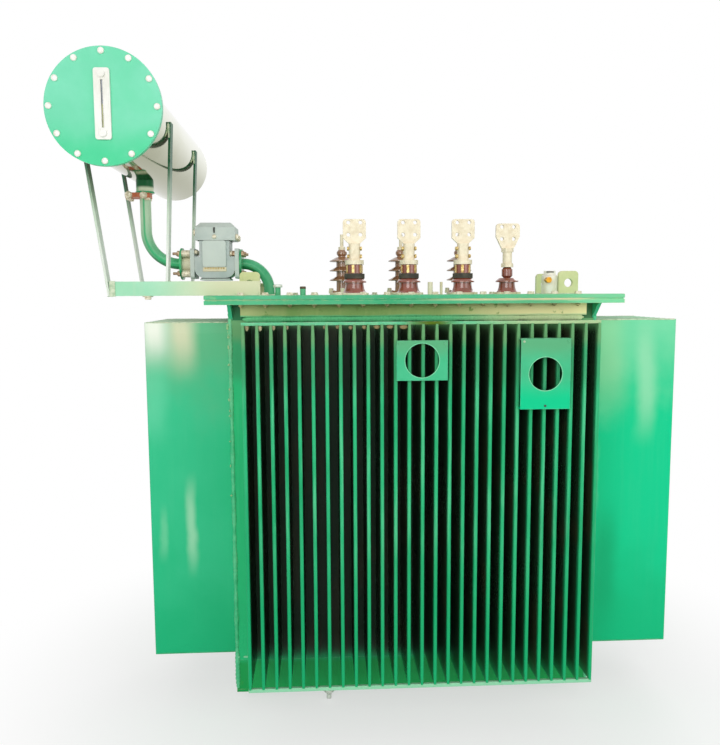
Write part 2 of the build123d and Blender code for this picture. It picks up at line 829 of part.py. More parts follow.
def porcelain_base(base_radius, waist_radius, shed_radius):
    """A bell-shaped porcelain foot that narrows to a waist under one broad shed."""
    shed_z = lv_base_height
    flare = base_radius - waist_radius
    flare_height = shed_z - 2 * lv_base_rim
    curve = [
        (waist_radius + out_share * flare, lv_base_rim + up_share * flare_height)
        for out_share, up_share in lv_foot_curve_shares
    ]
    return turned(
        [
            (0, 0),
            (base_radius, 0),
            (base_radius, lv_base_rim),
            *curve,
            (waist_radius, shed_z - lv_base_rim),
            (waist_radius, shed_z),
            (shed_radius, shed_z),
            (shed_radius, shed_z + lv_shed_rim),
            (waist_radius, shed_z + lv_shed_height),
            (0, shed_z + lv_shed_height),
        ]
    )


# Low-voltage bushings, built up from the cover
lv_pitch = lv_pitch_share * cover_length
lv_left_x = -active_part_offset - (lv_count - 1) * lv_pitch / 2
lv_places = [(lv_left_x + i * lv_pitch, lv_row_y) for i in range(lv_count)]
lv_gasket_z = cover_top_z + lv_base_height + lv_shed_height
lv_head_z = lv_gasket_z + lv_gasket_height
lv_cap_z = lv_head_z + lv_head_height
lv_clamp_z = lv_cap_z + lv_cap_height
lv_flag_z = lv_clamp_z + lv_clamp_height
lv_base_form = porcelain_base(lv_base_diameter / 2, lv_waist_diameter / 2, lv_shed_diameter / 2)
save(placed(lv_base_form, lv_places, cover_top_z), "lv_porcelain_bases")


def lv_discs(level, diameter, height):
    """One short cylinder on each low-voltage bushing's axis."""
    with BuildPart() as discs:
        with BuildSketch(Plane.XY.offset(level)):
            with Locations(*lv_places):
                Circle(diameter / 2)
        extrude(amount=height)
    return discs


save(lv_discs(lv_gasket_z, lv_gasket_diameter, lv_gasket_height), "lv_gaskets")
save(lv_discs(lv_head_z, lv_head_diameter, lv_head_height), "lv_porcelain_heads")

with BuildPart() as lv_terminals:
    with BuildSketch(Plane.XY.offset(lv_cap_z)):
        with Locations(*lv_places):
            Circle(lv_cap_diameter / 2)
    extrude(amount=lv_cap_height)
    with BuildSketch(Plane.XY.offset(lv_clamp_z)) as clamp_outline:
        with Locations(*lv_places):
            Rectangle(lv_clamp_width, lv_clamp_depth)
        fillet(clamp_outline.vertices(), radius=min(lv_clamp_rounding, fillet_limit_share * lv_clamp_depth))
    extrude(amount=lv_clamp_height)
    with BuildSketch(Plane.XZ.offset(-lv_row_y)) as flag_outline:
        for flag_x, _ in lv_places:
            with BuildLine():
                Polyline(
                    (flag_x - lv_clamp_width / 2, lv_flag_z),
                    (flag_x + lv_clamp_width / 2, lv_flag_z),
                    (flag_x + lv_flag_width / 2, lv_flag_z + lv_flag_shoulder),
                    (flag_x + lv_flag_width / 2, lv_flag_z + lv_flag_height),
                    (flag_x - lv_flag_width / 2, lv_flag_z + lv_flag_height),
                    (flag_x - lv_flag_width / 2, lv_flag_z + lv_flag_shoulder),
                    close=True,
                )
            make_face()
        fillet(flag_outline.vertices().group_by(Axis.Y)[-1], radius=lv_flag_rounding)
        for flag_x, _ in lv_places:
            with Locations((flag_x, lv_flag_z + lv_flag_height - lv_flag_hole_drop)):
                with GridLocations(lv_flag_hole_spacing, lv_flag_hole_spacing, 2, 2):
                    Circle(lv_flag_hole_diameter / 2, mode=Mode.SUBTRACT)
    extrude(amount=lv_flag_thickness / 2, both=True)
save(lv_terminals, "lv_terminals")

# Neutral bushing: a smaller foot, a round head and a spade terminal
neutral_place = (lv_places[-1][0] + neutral_gap_share * cover_length, lv_row_y)
neutral_base_form = porcelain_base(
    neutral_base_diameter / 2,
    neutral_waist_diameter / 2,
    neutral_shed_diameter / 2,
)
neutral_head_z = cover_top_z + lv_base_height + lv_shed_height
ball_radius = neutral_ball_diameter / 2
seat_radius = neutral_ball_seat_diameter / 2
neutral_head_form = turned(
    [
        (0, 0),
        (seat_radius, 0),
        (ball_radius, ball_radius - seat_radius),
        (ball_radius, ball_radius + seat_radius),
        (seat_radius, neutral_ball_diameter),
        (0, neutral_ball_diameter),
    ]
)
with BuildPart() as neutral_porcelain:
    with Locations((*neutral_place, cover_top_z)):
        add(neutral_base_form.part)
    with Locations((*neutral_place, neutral_head_z)):
        add(neutral_head_form.part)
save(neutral_porcelain, "neutral_porcelain")

neutral_stem_z = neutral_head_z + neutral_ball_diameter
neutral_flag_z = neutral_stem_z + neutral_stem_height
with BuildPart() as neutral_terminal:
    with BuildSketch(Plane.XY.offset(neutral_stem_z)):
        with Locations(neutral_place):
            Circle(neutral_stem_diameter / 2)
    extrude(amount=neutral_stem_height)
    for nut_z in (neutral_stem_z, neutral_flag_z - neutral_nut_height):
        with BuildSketch(Plane.XY.offset(nut_z)):
            with Locations(neutral_place):
                RegularPolygon(neutral_nut_diameter / 2, 6)
        extrude(amount=neutral_nut_height)
    with BuildSketch(Plane.XZ.offset(-lv_row_y)) as spade_outline:
        spade_x = neutral_place[0]
        with BuildLine():
            Polyline(
                (spade_x - neutral_flag_neck / 2, neutral_flag_z),
                (spade_x + neutral_flag_neck / 2, neutral_flag_z),
                (spade_x + neutral_flag_width / 2, neutral_flag_z + neutral_flag_taper),
                (spade_x + neutral_flag_width / 2, neutral_flag_z + neutral_flag_height),
                (spade_x - neutral_flag_width / 2, neutral_flag_z + neutral_flag_height),
                (spade_x - neutral_flag_width / 2, neutral_flag_z + neutral_flag_taper),
                close=True,
            )
        make_face()
        fillet(spade_outline.vertices().group_by(Axis.Y)[-1], radius=lv_flag_rounding)
        with Locations((spade_x, neutral_flag_z + neutral_flag_height - lv_flag_hole_drop)):
            with GridLocations(lv_flag_hole_spacing, lv_flag_hole_spacing, 2, 2):
                Circle(lv_flag_hole_diameter / 2, mode=Mode.SUBTRACT)
    extrude(amount=lv_flag_thickness / 2, both=True)
save(neutral_terminal, "neutral_terminal")

# High-voltage bushings: a clamped foot, a slim body with drooping sheds, a knob and a stud with its nut
hv_pitch = hv_pitch_share * cover_length
hv_left_x = -active_part_offset - (hv_count - 1) * hv_pitch / 2
hv_places = [(hv_left_x + i * hv_pitch, hv_row_y) for i in range(hv_count)]
hv_body_radius = hv_body_diameter / 2
hv_base_radius = hv_base_diameter / 2
hv_shed_radius = hv_shed_diameter / 2
hv_knob_radius = hv_knob_diameter / 2
hv_knob_neck_radius = hv_knob_neck_diameter / 2
hv_outline = [(0, 0), (hv_base_radius, 0), (hv_base_radius, hv_base_height), (hv_body_radius, hv_base_height)]
for shed in range(hv_shed_count):
    shed_foot = hv_base_height + hv_neck_height + shed * hv_shed_pitch
    hv_outline += [
        (hv_body_radius, shed_foot + hv_shed_droop),
        (hv_shed_radius, shed_foot),
        (hv_shed_radius, shed_foot + hv_shed_rim),
        (hv_body_radius, shed_foot + hv_shed_root),
    ]
hv_knob_foot = shed_foot + hv_shed_root + hv_knob_neck_height
hv_knob_top = hv_knob_foot + hv_knob_height
hv_outline += [
    (hv_knob_neck_radius, shed_foot + hv_shed_root),
    (hv_knob_neck_radius, hv_knob_foot),
    (hv_knob_radius, hv_knob_foot + hv_knob_bevel),
    (hv_knob_radius, hv_knob_top - hv_knob_bevel),
    (hv_knob_neck_radius, hv_knob_top),
    (0, hv_knob_top),
]
save(placed(turned(hv_outline), hv_places, cover_top_z), "hv_porcelain")

hv_nut_z = cover_top_z + hv_knob_top
with BuildPart() as hv_terminals:
    with BuildSketch(Plane.XY.offset(hv_nut_z)):
        with Locations(*hv_places):
            RegularPolygon(hv_nut_diameter / 2, 6)
    extrude(amount=hv_nut_height)
    with BuildSketch(Plane.XY.offset(hv_nut_z + hv_nut_height)):
        with Locations(*hv_places):
            Circle(hv_stud_diameter / 2)
    extrude(amount=hv_stud_height)
save(hv_terminals, "hv_terminals")

# A capped plug and a plain post standing on the cover
plug_place = (plug_from_end - cover_length / 2, plug_y)
with BuildPart() as cover_posts:
    with BuildSketch(Plane.XY.offset(cover_top_z)):
        with Locations(plug_place):
            Circle(plug_diameter / 2)
    extrude(amount=plug_height)
    with BuildSketch(Plane.XY.offset(cover_top_z + plug_height)):
        with Locations(plug_place):
            Circle(plug_cap_diameter / 2)
    extrude(amount=plug_cap_height)
    with BuildSketch(Plane.XY.offset(cover_top_z)):
        with Locations((post_from_end - cover_length / 2, post_y)):
            Circle(post_diameter / 2)
    extrude(amount=post_height)
save(cover_posts, "cover_posts")

# A thick and a thin stud between the middle and right low-voltage bushings
stud_pair_x = lv_places[lv_count // 2][0] + stud_pair_from_bushing
with BuildPart() as cover_studs:
    with BuildSketch(Plane.XY.offset(cover_top_z)):
        with Locations((stud_pair_x - stud_pair_spacing / 2, stud_pair_y)):
            Circle(thick_stud_diameter / 2)
        with Locations((stud_pair_x + stud_pair_spacing / 2, stud_pair_y)):
            Circle(thin_stud_diameter / 2)
    extrude(amount=stud_pair_height)
save(cover_studs, "cover_studs")
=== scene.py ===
"""Looks of an oil-immersed power transformer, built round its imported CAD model.

Lengths are metres in the CAD frame: X along the tank, Y from front to back, Z up from the floor.
Each new piece is a surface computed with numpy: a grid of two parameters, or a profile carried along a path.
"""
import json
import math

import bmesh
import bpy
import numpy as np
from mathutils import Matrix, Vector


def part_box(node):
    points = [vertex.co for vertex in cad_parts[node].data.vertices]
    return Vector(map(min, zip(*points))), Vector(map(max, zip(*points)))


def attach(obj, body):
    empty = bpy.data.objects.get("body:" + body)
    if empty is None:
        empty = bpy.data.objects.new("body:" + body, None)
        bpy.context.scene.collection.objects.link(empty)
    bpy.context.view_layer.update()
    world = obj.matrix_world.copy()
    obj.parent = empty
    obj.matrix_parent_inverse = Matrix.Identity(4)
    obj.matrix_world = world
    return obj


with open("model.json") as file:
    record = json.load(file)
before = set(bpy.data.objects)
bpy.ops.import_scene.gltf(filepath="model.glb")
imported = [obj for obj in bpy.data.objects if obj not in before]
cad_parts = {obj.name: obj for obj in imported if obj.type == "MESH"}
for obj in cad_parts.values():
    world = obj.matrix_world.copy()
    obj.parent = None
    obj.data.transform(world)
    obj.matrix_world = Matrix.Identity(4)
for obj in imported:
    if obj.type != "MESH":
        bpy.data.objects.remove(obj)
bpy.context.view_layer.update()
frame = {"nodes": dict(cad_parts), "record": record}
mounts = {mount["name"]: np.array(mount["pos_m"], float) for mount in frame["record"]["mounts"]}
scene = bpy.context.scene
UP, DOWN = (0, 0, 1), (0, 0, -1)
FRONT, BACK = (0, -1, 0), (0, 1, 0)
LEFT, RIGHT = (-1, 0, 0), (1, 0, 0)
X, Y, Z = 0, 1, 2
SIDES = (-1, 1)
SQUARE = ((-1, -1), (1, -1), (1, 1), (-1, 1))
CORNERS = ("front_left", "front_right", "rear_left", "rear_right")
BEVEL_SAMPLES = 4
CHIP_WIDTH = 0.004
PAINT_EDGE = 0.0012
# Heights where the painted shade between the fins fades out, at their foot and at their top.
SHADE_FOOT, SHADE_TOP = (0.165, 0.25, 0.03), (1.436, 1.396, 0.02)


# Surfaces


def colour(red, green, blue):
    """Linear colour from 0 to 255 display values: the display curve's power law with its straight foot."""
    shares = np.array([red, green, blue], float) / 255
    linear = np.where(shares <= 0.04045, shares / 12.92, ((shares + 0.055) / 1.055) ** 2.4)
    return (*linear.tolist(), 1.0)


def turn_to(normal):
    """Rotation whose third column is the normal, with the other two square to it."""
    n = np.asarray(normal, float) / np.linalg.norm(normal)
    helper = np.array([1.0, 0, 0]) if abs(n[0]) < 0.9 else np.array([0, 1.0, 0])
    side = np.cross(helper, n)
    side /= np.linalg.norm(side)
    return np.stack([np.cross(side, n), side, n], 1)


def lathe(profile, sides, phase=0.0):
    """Turned form: every radius and height pair of the profile goes round Z in equal steps of angle."""
    radius, height = np.asarray(profile, float).T
    angle = phase + np.arange(sides) * 2 * np.pi / sides
    round_x = np.outer(radius, np.cos(angle))
    round_y = np.outer(radius, np.sin(angle))
    return np.stack([round_x, round_y, np.repeat(height[:, None], sides, 1)], -1)


def stood(form, places, normal=UP):
    """Copies of a form: its Z axis is turned to the normal and its origin is put at each place."""
    turned = form @ turn_to(normal).T
    return turned[None] + np.asarray(places, float).reshape(-1, 1, 1, 3)


def ringed(form, angles, axes):
    """Copies of a form turned about Z by each angle, round each upright axis."""
    cosine, sine = np.cos(angles), np.sin(angles)
    flat = np.stack([np.stack([cosine, -sine], -1), np.stack([sine, cosine], -1)], -2)
    turned = np.repeat(form[None], len(cosine), 0)
    turned[..., :2] = np.einsum("aij,nmj->anmi", flat, form[..., :2])
    placed = axes[:, None, None, None, :] + turned[None]
    return placed.reshape(-1, *form.shape)


def swept(path, across, lift, outline, scale):
    """Profile along a path: outline pairs, scaled at each station, on its across and lift axes."""
    side, rise = outline.T[:, None, :, None]
    sideways = scale[:, None, None] * side * across[:, None]
    upwards = scale[:, None, None] * rise * lift[:, None]
    return (path[:, None] + sideways + upwards)[None]


def added(name, data):
    """New object in the scene."""
    made = bpy.data.objects.new(name, data)
    scene.collection.objects.link(made)
    return made


def piece(name, batches, material, smooth=True, bevel=0.0):
    """One mesh from batches of grids: quads join rows, columns close round, and doubles at the poles merge."""
    points, quads, offset = [], [], 0
    for grid in batches:
        copies, rows, columns = grid.shape[:3]
        points.append(grid.reshape(-1, 3))
        index = offset + np.arange(copies * rows * columns).reshape(copies, rows, columns)
        near, far = index, np.roll(index, -1, 2)
        faces = np.stack([near[:, :-1], far[:, :-1], far[:, 1:], near[:, 1:]], -1)
        quads.append(faces.reshape(-1, 4))
        offset += copies * rows * columns
    mesh = bpy.data.meshes.new(name)
    mesh.from_pydata(np.concatenate(points), [], np.concatenate(quads))
    work = bmesh.new()
    work.from_mesh(mesh)
    bmesh.ops.remove_doubles(work, verts=work.verts, dist=1e-6)
    bmesh.ops.recalc_face_normals(work, faces=work.faces)
    work.to_mesh(mesh)
    work.free()
    mesh.polygons.foreach_set("use_smooth", np.full(len(mesh.polygons), smooth))
    mesh.materials.append(material)
    made = added(name, mesh)
    if bevel:
        rounding = made.modifiers.new("rounded_edges", "BEVEL")
        rounding.width = bevel
        rounding.segments = 2
        rounding.limit_method = "ANGLE"
    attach(made, "root")


def hardware(name, batches, material, bevel=0.0):
    """Flat-faced piece, such as bolts, nuts and blocks."""
    piece(name, batches, material, smooth=False, bevel=bevel)


HEXAGON = math.pi / 6


def hex_head(across_flats, height):
    """Hexagonal head with a bevelled crown, six sides round its axis."""
    corner = across_flats / math.sqrt(3)
    return lathe([(0, 0), (corner, 0), (corner, height * 0.8), (corner * 0.86, height), (0, height)], 6, HEXAGON)


def domed_head(radius, height):
    """Round head: a short rim, then a quarter ellipse up to the pole."""
    sweep = np.linspace(0, np.pi / 2, 6)
    dome = [(radius * math.cos(t), height * (0.35 + 0.65 * math.sin(t))) for t in sweep]
    return lathe([(0, 0), (radius, 0)] + dome, 16)


def washer(radius, height):
    """Flat disc with a bevelled upper edge."""
    return lathe([(0, 0), (radius, 0), (radius, height * 0.7), (radius * 0.95, height), (0, height)], 16)


def bolted(places, normal, flats, height, disc, thickness):
    """Hexagonal heads with a washer round the foot of each."""
    return [stood(hex_head(flats, height), places, normal), stood(washer(disc, thickness), places, normal)]


def hoop(inner, outer, height):
    """Flat ring: a square outline with a bevelled outer edge, carried round the axis."""
    bevel = height * 0.3
    outline = [(inner, 0), (outer, 0), (outer, height - bevel), (outer - bevel, height), (inner, height), (inner, 0)]
    return lathe(outline, 40)


def threaded(radius, height, pitch=0.002):
    """Threaded rod: rings of crest and root one pitch apart, with a bevelled end."""
    turns = int(height / pitch)
    steps = np.arange(2 * turns + 1)
    rings = np.stack([radius - 0.35 * pitch * (steps % 2), steps * pitch / 2], 1)
    return lathe([(0, 0), *rings.tolist(), (radius * 0.7, height), (0, height)], 18)


def blobs(places, radii):
    """Balls: a half circle turned round Z, stretched to each row of radii and put at each place."""
    sweep = np.linspace(-np.pi / 2, np.pi / 2, 7)
    ball = lathe(np.stack([np.cos(sweep), np.sin(sweep)], 1), 12)
    return ball * np.concatenate(radii)[:, None, None] + np.concatenate(places)[:, None, None]


ROUND = lathe([(1, 0)], 8)[0, :, :2]


def bead(start, end, outward, size, ripple=0.007, seed=1.0):
    """Weld bead: a half round along a line, scalloped by the sine of the distance and wandering by two slow sines."""
    start, end = np.asarray(start, float), np.asarray(end, float)
    length = np.linalg.norm(end - start)
    count = max(8, int(length / ripple * 4))
    run = np.linspace(0, length, count)
    path = start + (end - start) * (run / length)[:, None]
    lift = np.broadcast_to(np.asarray(outward, float) / np.linalg.norm(outward), path.shape)
    across = np.cross((end - start) / length, lift)
    wander = 0.12 * np.sin(run * 31 + seed) + 0.08 * np.sin(run * 83 + 2.3 * seed)
    scallop = 0.78 + 0.22 * np.abs(np.sin(np.pi * run / ripple)) + wander
    closing = np.minimum(1, np.minimum(run, length - run) / size)
    return swept(path, across, lift, ROUND * (1, 0.8), size * scallop * closing)


def ring_bead(centre, normal, radius, size):
    """Weld bead round a circle: the same scallops as a straight bead, carried round the normal."""
    count = max(40, int(2 * math.pi * radius / 0.003))
    angle = np.linspace(0, 2 * np.pi, count)
    axes = turn_to(normal)
    outward = np.cos(angle)[:, None] * axes[:, 0] + np.sin(angle)[:, None] * axes[:, 1]
    path = centre + radius * outward
    lift = np.broadcast_to(axes[:, 2], path.shape)
    lumps = round(2 * math.pi * radius / 0.009)
    scallop = 0.8 + 0.2 * np.abs(np.sin(lumps * angle / 2)) + 0.1 * np.sin(5 * angle + 1)
    return swept(path, outward, lift, ROUND, size * scallop)


def level_bead(x_ends, y, z, outward, size, ripple=0.007, seed=1.0):
    """Weld bead along X, at one depth and height."""
    return bead((x_ends[0], y, z), (x_ends[1], y, z), outward, size, ripple, seed)


def block(centre, size):
    """Box as a closed profile: a square outline carried between its two ends, each end drawn in to a point."""
    half = np.asarray(size, float) / 2
    corners = np.array(SQUARE, float) * half[:2]
    levels = half[2] * np.array([-1, -1, 1, 1])
    spread = np.array([0.0, 1, 1, 0])
    grid = np.zeros((4, 4, 3))
    grid[:, :, :2] = spread[:, None, None] * corners
    grid[:, :, 2] = levels[:, None]
    return (grid + centre)[None]


# Shared finishes


class Tree:
    """Short ways to add and join shader nodes in one tree; a tuple fed to a socket is a display colour."""

    def __init__(self, tree):
        self.tree = tree

    def add(self, kind, *fed, **settings):
        """New node with its settings, and with values or sockets fed to its first inputs."""
        node = self.tree.nodes.new("ShaderNode" + kind)
        for key, value in settings.items():
            setattr(node, key, value)
        for socket, value in zip(node.inputs, fed):
            self.feed(socket, value)
        return node

    def feed(self, socket, value):
        if hasattr(value, "is_output"):
            self.tree.links.new(value, socket)
        else:
            socket.default_value = colour(*value) if isinstance(value, tuple) else value

    def fill(self, node, **values):
        """Feed inputs by their titles, with underscores for spaces."""
        for title, value in values.items():
            self.feed(node.inputs[title.replace("_", " ")], value)
        return node

    def math(self, operation, first, second=0.0, clamp=False):
        return self.add("Math", first, second, operation=operation, use_clamp=clamp).outputs[0]

    def times(self, first, second, clamp=False):
        return self.math("MULTIPLY", first, second, clamp)

    def plus(self, first, second, clamp=False):
        return self.math("ADD", first, second, clamp)

    def minus(self, first, second):
        return self.math("SUBTRACT", first, second)

    def absolute(self, value):
        return self.math("ABSOLUTE", value)

    def mix(self, share, first, second):
        node = self.fill(self.add("Mix", data_type="RGBA"), Factor=share)
        self.feed(node.inputs[6], first)
        self.feed(node.inputs[7], second)
        return node.outputs[2]

    def noise(self, scale, detail, stretch=None):
        place = self.add("TexCoord").outputs["Object"]
        if stretch:
            mapping = self.add("Mapping", place)
            mapping.inputs["Scale"].default_value = stretch
            place = mapping.outputs[0]
        node = self.fill(self.add("TexNoise", place), Scale=scale, Detail=detail, Roughness=0.55)
        return node.outputs["Fac"]

    def between(self, value, low, high):
        """Smooth step from 0 at low to 1 at high."""
        return self.add("MapRange", value, low, high, interpolation_type="SMOOTHSTEP").outputs[0]

    def place(self, axis):
        return self.add("SeparateXYZ", self.add("TexCoord").outputs["Object"]).outputs[axis]

    def facing(self, axis):
        return self.add("SeparateXYZ", self.add("NewGeometry").outputs["Normal"]).outputs[axis]


def effect(colours, values, outputs):
    """Turn a rule that joins the sockets given to the sockets put out into a shader node group of its name."""

    def make(rule):
        group = bpy.data.node_groups.new(rule.__name__, "ShaderNodeTree")
        sides = [("INPUT", title, title in colours) for title in colours + values]
        sides += [("OUTPUT", title, title == "Color") for title in outputs]
        for side, title, tinted in sides:
            kind = "NodeSocketColor" if tinted else "NodeSocketFloat"
            group.interface.new_socket(name=title, in_out=side, socket_type=kind)
        given, out = group.nodes.new("NodeGroupInput"), group.nodes.new("NodeGroupOutput")
        rule(Tree(group), given.outputs, out.inputs)
        return group

    return make


@effect(("Paint", "Deep", "Dust"), ("Dust Amount", "Gloss", "Patch Scale"), ("Color", "Roughness", "Height"))
def weathered_paint(t, given, out):
    """Paint that drifts in tone, streaks downwards and gathers dust on its upward faces."""
    patches = t.between(t.noise(given["Patch Scale"], 4), 0.38, 0.66)
    streaks = t.between(t.noise(6.0, 4, (6, 6, 0.35)), 0.45, 0.75)
    specks = t.between(t.noise(90.0, 2), 0.55, 0.75)
    toned = t.mix(patches, given["Paint"], given["Deep"])
    lying = t.times(t.between(t.facing(Z), 0.5, 0.95), 0.8)
    settled = t.plus(t.times(streaks, 0.55), t.times(specks, 0.3))
    dusty = t.times(t.plus(settled, lying), given["Dust Amount"], clamp=True)
    t.feed(out["Color"], t.mix(dusty, toned, given["Dust"]))
    rough = t.plus(given["Gloss"], t.times(dusty, 0.4))
    t.feed(out["Roughness"], t.plus(rough, t.times(patches, 0.06), clamp=True))
    t.feed(out["Height"], t.noise(260.0, 2))


@effect((), ("Width", "Amount"), ("Mask",))
def chipped_edges(t, given, out):
    """Mask of worn edges: where a rounded normal leaves the true one, broken up by noise."""
    rounded = t.add("Bevel", given["Width"], samples=BEVEL_SAMPLES)
    normal = t.add("NewGeometry").outputs["Normal"]
    meeting = t.add("VectorMath", rounded.outputs[0], normal, operation="DOT_PRODUCT")
    edge = t.between(t.minus(1.0, meeting.outputs["Value"]), 0.02, 0.25)
    broken = t.between(t.noise(45.0, 5), 0.42, 0.6)
    t.feed(out["Mask"], t.times(t.times(edge, broken), given["Amount"], clamp=True))


@effect((), ("Low", "High", "Ragged"), ("Mask",))
def level_fade(t, given, out):
    """Mask that rises from 0 at one height to 1 at another, with a ragged front."""
    shift = t.times(t.minus(t.noise(7.0, 4), 0.5), given["Ragged"])
    t.feed(out["Mask"], t.between(t.plus(t.place(Z), shift), given["Low"], given["High"]))


@effect((), ("Scale", "Cover"), ("Mask",))
def rust_stains(t, given, out):
    """Mask of scattered stains: coarse noise lets fine noise through."""
    edge = t.minus(1.0, given["Cover"])
    coarse = t.between(t.noise(given["Scale"], 5), edge, t.plus(edge, 0.12))
    fine = t.between(t.noise(120.0, 3), 0.35, 0.6)
    t.feed(out["Mask"], t.times(coarse, fine, clamp=True))


class Finish(Tree):
    """A material with one Principled shader and the shared effects as layers."""

    def __init__(self, name):
        self.material = bpy.data.materials.new(name)
        self.material.use_nodes = True
        super().__init__(self.material.node_tree)
        self.shader = self.tree.nodes["Principled BSDF"]

    def group(self, tree, **values):
        return self.fill(self.add("Group", node_tree=tree), **values).outputs

    def fade(self, low, high, ragged):
        return self.group(level_fade, Low=low, High=high, Ragged=ragged)["Mask"]

    def bump(self, height, strength, distance, edge=0.0):
        node = self.fill(self.add("Bump"), Strength=strength, Distance=distance, Height=height)
        if edge:
            self.fill(node, Normal=self.add("Bevel", edge, samples=BEVEL_SAMPLES).outputs[0])
        self.set(Normal=node.outputs[0])

    def set(self, **values):
        self.fill(self.shader, **values)


def paint(name, coat, deep, dust, amount=0.25, gloss=0.3, patch=3.0, chip=None, wear=0.4, layers=()):
    """Painted metal: weathered coat, optional layers of colour by mask, chipped edges, fine orange peel."""
    t = Finish(name)
    aged = t.group(
        weathered_paint, Paint=coat, Deep=deep, Dust=dust, Dust_Amount=amount, Gloss=gloss, Patch_Scale=patch
    )
    shown = aged["Color"]
    for mask, over in layers:
        shown = t.mix(mask(t), shown, over)
    if chip:
        shown = t.mix(t.group(chipped_edges, Width=CHIP_WIDTH, Amount=wear)["Mask"], shown, chip)
    t.set(Base_Color=shown, Roughness=aged["Roughness"], Specular_IOR_Level=0.15)
    t.set(Coat_Weight=0.05, Coat_Roughness=0.2)
    t.bump(aged["Height"], 0.12, 0.0006, PAINT_EDGE)
    return t.material


def layer_mask(rule):
    """Turn a rule that takes a tree first into a maker of layer masks."""
    return lambda *values: lambda t: rule(t, *values)


@layer_mask
def level(t, low, high, ragged, share=1.0):
    """Fades in with height."""
    return t.times(t.fade(low, high, ragged), share)


@layer_mask
def stains(t, scale, cover):
    """Scattered stains."""
    return t.group(rust_stains, Scale=scale, Cover=cover)["Mask"]


@layer_mask
def drifting(t, scale, stretch, share):
    """Soft patches: noise drawn out along the frame's axes."""
    return t.times(t.between(t.noise(scale, 3, stretch), 0.47, 0.66), share)


@layer_mask
def both(t, first, second):
    """Where two masks meet: their product."""
    return t.times(first(t), second(t))


@layer_mask
def along(t, axis, low, high, share=1.0):
    """Grows along one axis of the frame."""
    return t.times(t.between(t.place(axis), low, high), share)


@layer_mask
def stain_and_glare_band(t, x, half_width, low, high, share):
    """Soft upright band: a wandering band in X that fades in and out between two heights; it draws a real stain and
    painted glare.
    """
    wander = t.times(t.minus(t.noise(4.0, 3), 0.5), 0.06)
    off = t.absolute(t.minus(t.plus(t.place(X), wander), x))
    wide = t.between(off, half_width, half_width * 0.1)
    fade = (high - low) * 0.4
    rising = t.between(t.place(Z), low, low + fade)
    ending = t.between(t.place(Z), high, high - fade)
    return t.times(t.times(wide, t.times(rising, ending)), share)


@layer_mask
def painted_fin_shade(t, deep_axis, tip, root, span_axis, outer_face, share):
    """Painted shade between fins: it grows from their tips inwards and ends short of their open ends."""
    grown = t.between(t.absolute(t.place(deep_axis)), tip, root)
    inner = t.math("LESS_THAN", t.absolute(t.place(span_axis)), outer_face)
    open_ends = t.times(t.fade(*SHADE_FOOT), t.fade(*SHADE_TOP))
    return t.times(t.times(grown, inner), t.times(open_ends, share))


@layer_mask
def beyond(t, axis, reach, share):
    """All that lies farther from the middle than a reach along one axis."""
    return t.times(t.between(t.absolute(t.place(axis)), reach, reach + 0.006), share)


@layer_mask
def turned_side(t, axis, middle, half_width, share):
    """Stripe on a round form: where one part of its normal is near a value."""
    off = t.absolute(t.minus(t.facing(axis), middle))
    return t.times(t.between(off, half_width, half_width * 0.3), share)


def metal(name, base, deep, roughness, metallic=0.9, scale=60.0):
    """Bare or plated metal whose tone and roughness drift with noise."""
    t = Finish(name)
    drift = t.between(t.noise(scale, 4), 0.35, 0.7)
    rough = t.plus(roughness, t.times(drift, 0.18), clamp=True)
    t.set(Base_Color=t.mix(drift, base, deep), Metallic=metallic, Roughness=rough)
    t.bump(t.noise(scale * 3, 3), 0.15, 0.0005, 0.0008)
    return t.material


class Box:
    """Lower and upper corner, middle and size of a CAD node's box."""

    def __init__(self, name):
        self.low, self.high = (np.array(corner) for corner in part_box(name))
        self.middle = (self.low + self.high) / 2
        self.size = self.high - self.low


left_wall, right_wall = Box("left_fin_wall"), Box("right_fin_wall")
fin_bars = Box("fin_bars")
fin_tip = -Box("front_fin_wall").low[1]
fin_half_span = fin_bars.high[0]
side_fin_half_span = 0.186
FACE_INSET = 0.004
STIFFENER_FOOT = (1.460, 1.452, 0.012)

DUST = (150, 206, 166)
CREAM = (240, 232, 205)
# Colour of the painted shade deep between the fins.
PAINTED_GAP_SHADE = (38, 62, 42)


def side_fin_finish(name, coat, deep, foot, top, tip, painted_light_bands):
    """Finish of a side wall: pale at the top as painted light, deep at the foot, with bands of painted glare and tone
    on the outermost faces, painted shade between the fins and a painted highlight on their top faces.
    """
    shaded = painted_fin_shade(X, tip - 0.012, tip - 0.10, Y, side_fin_half_span - FACE_INSET, 0.9)
    return paint(
        name, coat, deep, (110, 214, 165), 0.1, 0.3, 1.6, (190, 214, 170), 0.4,
        layers=[
            # Deep green at the foot, a pale top as painted light, the painted light bands, and painted shade between
            # the fins.
            (level(0.7, 0.2, 0.3, 0.85), foot), (level(1.02, 1.44, 0.35, 0.8), top), *painted_light_bands, (shaded, PAINTED_GAP_SHADE),
            # Painted highlight on the fins' top faces.
            (level(1.4285, 1.4315, 0.0, 0.8), (190, 222, 190)),
        ],
    )
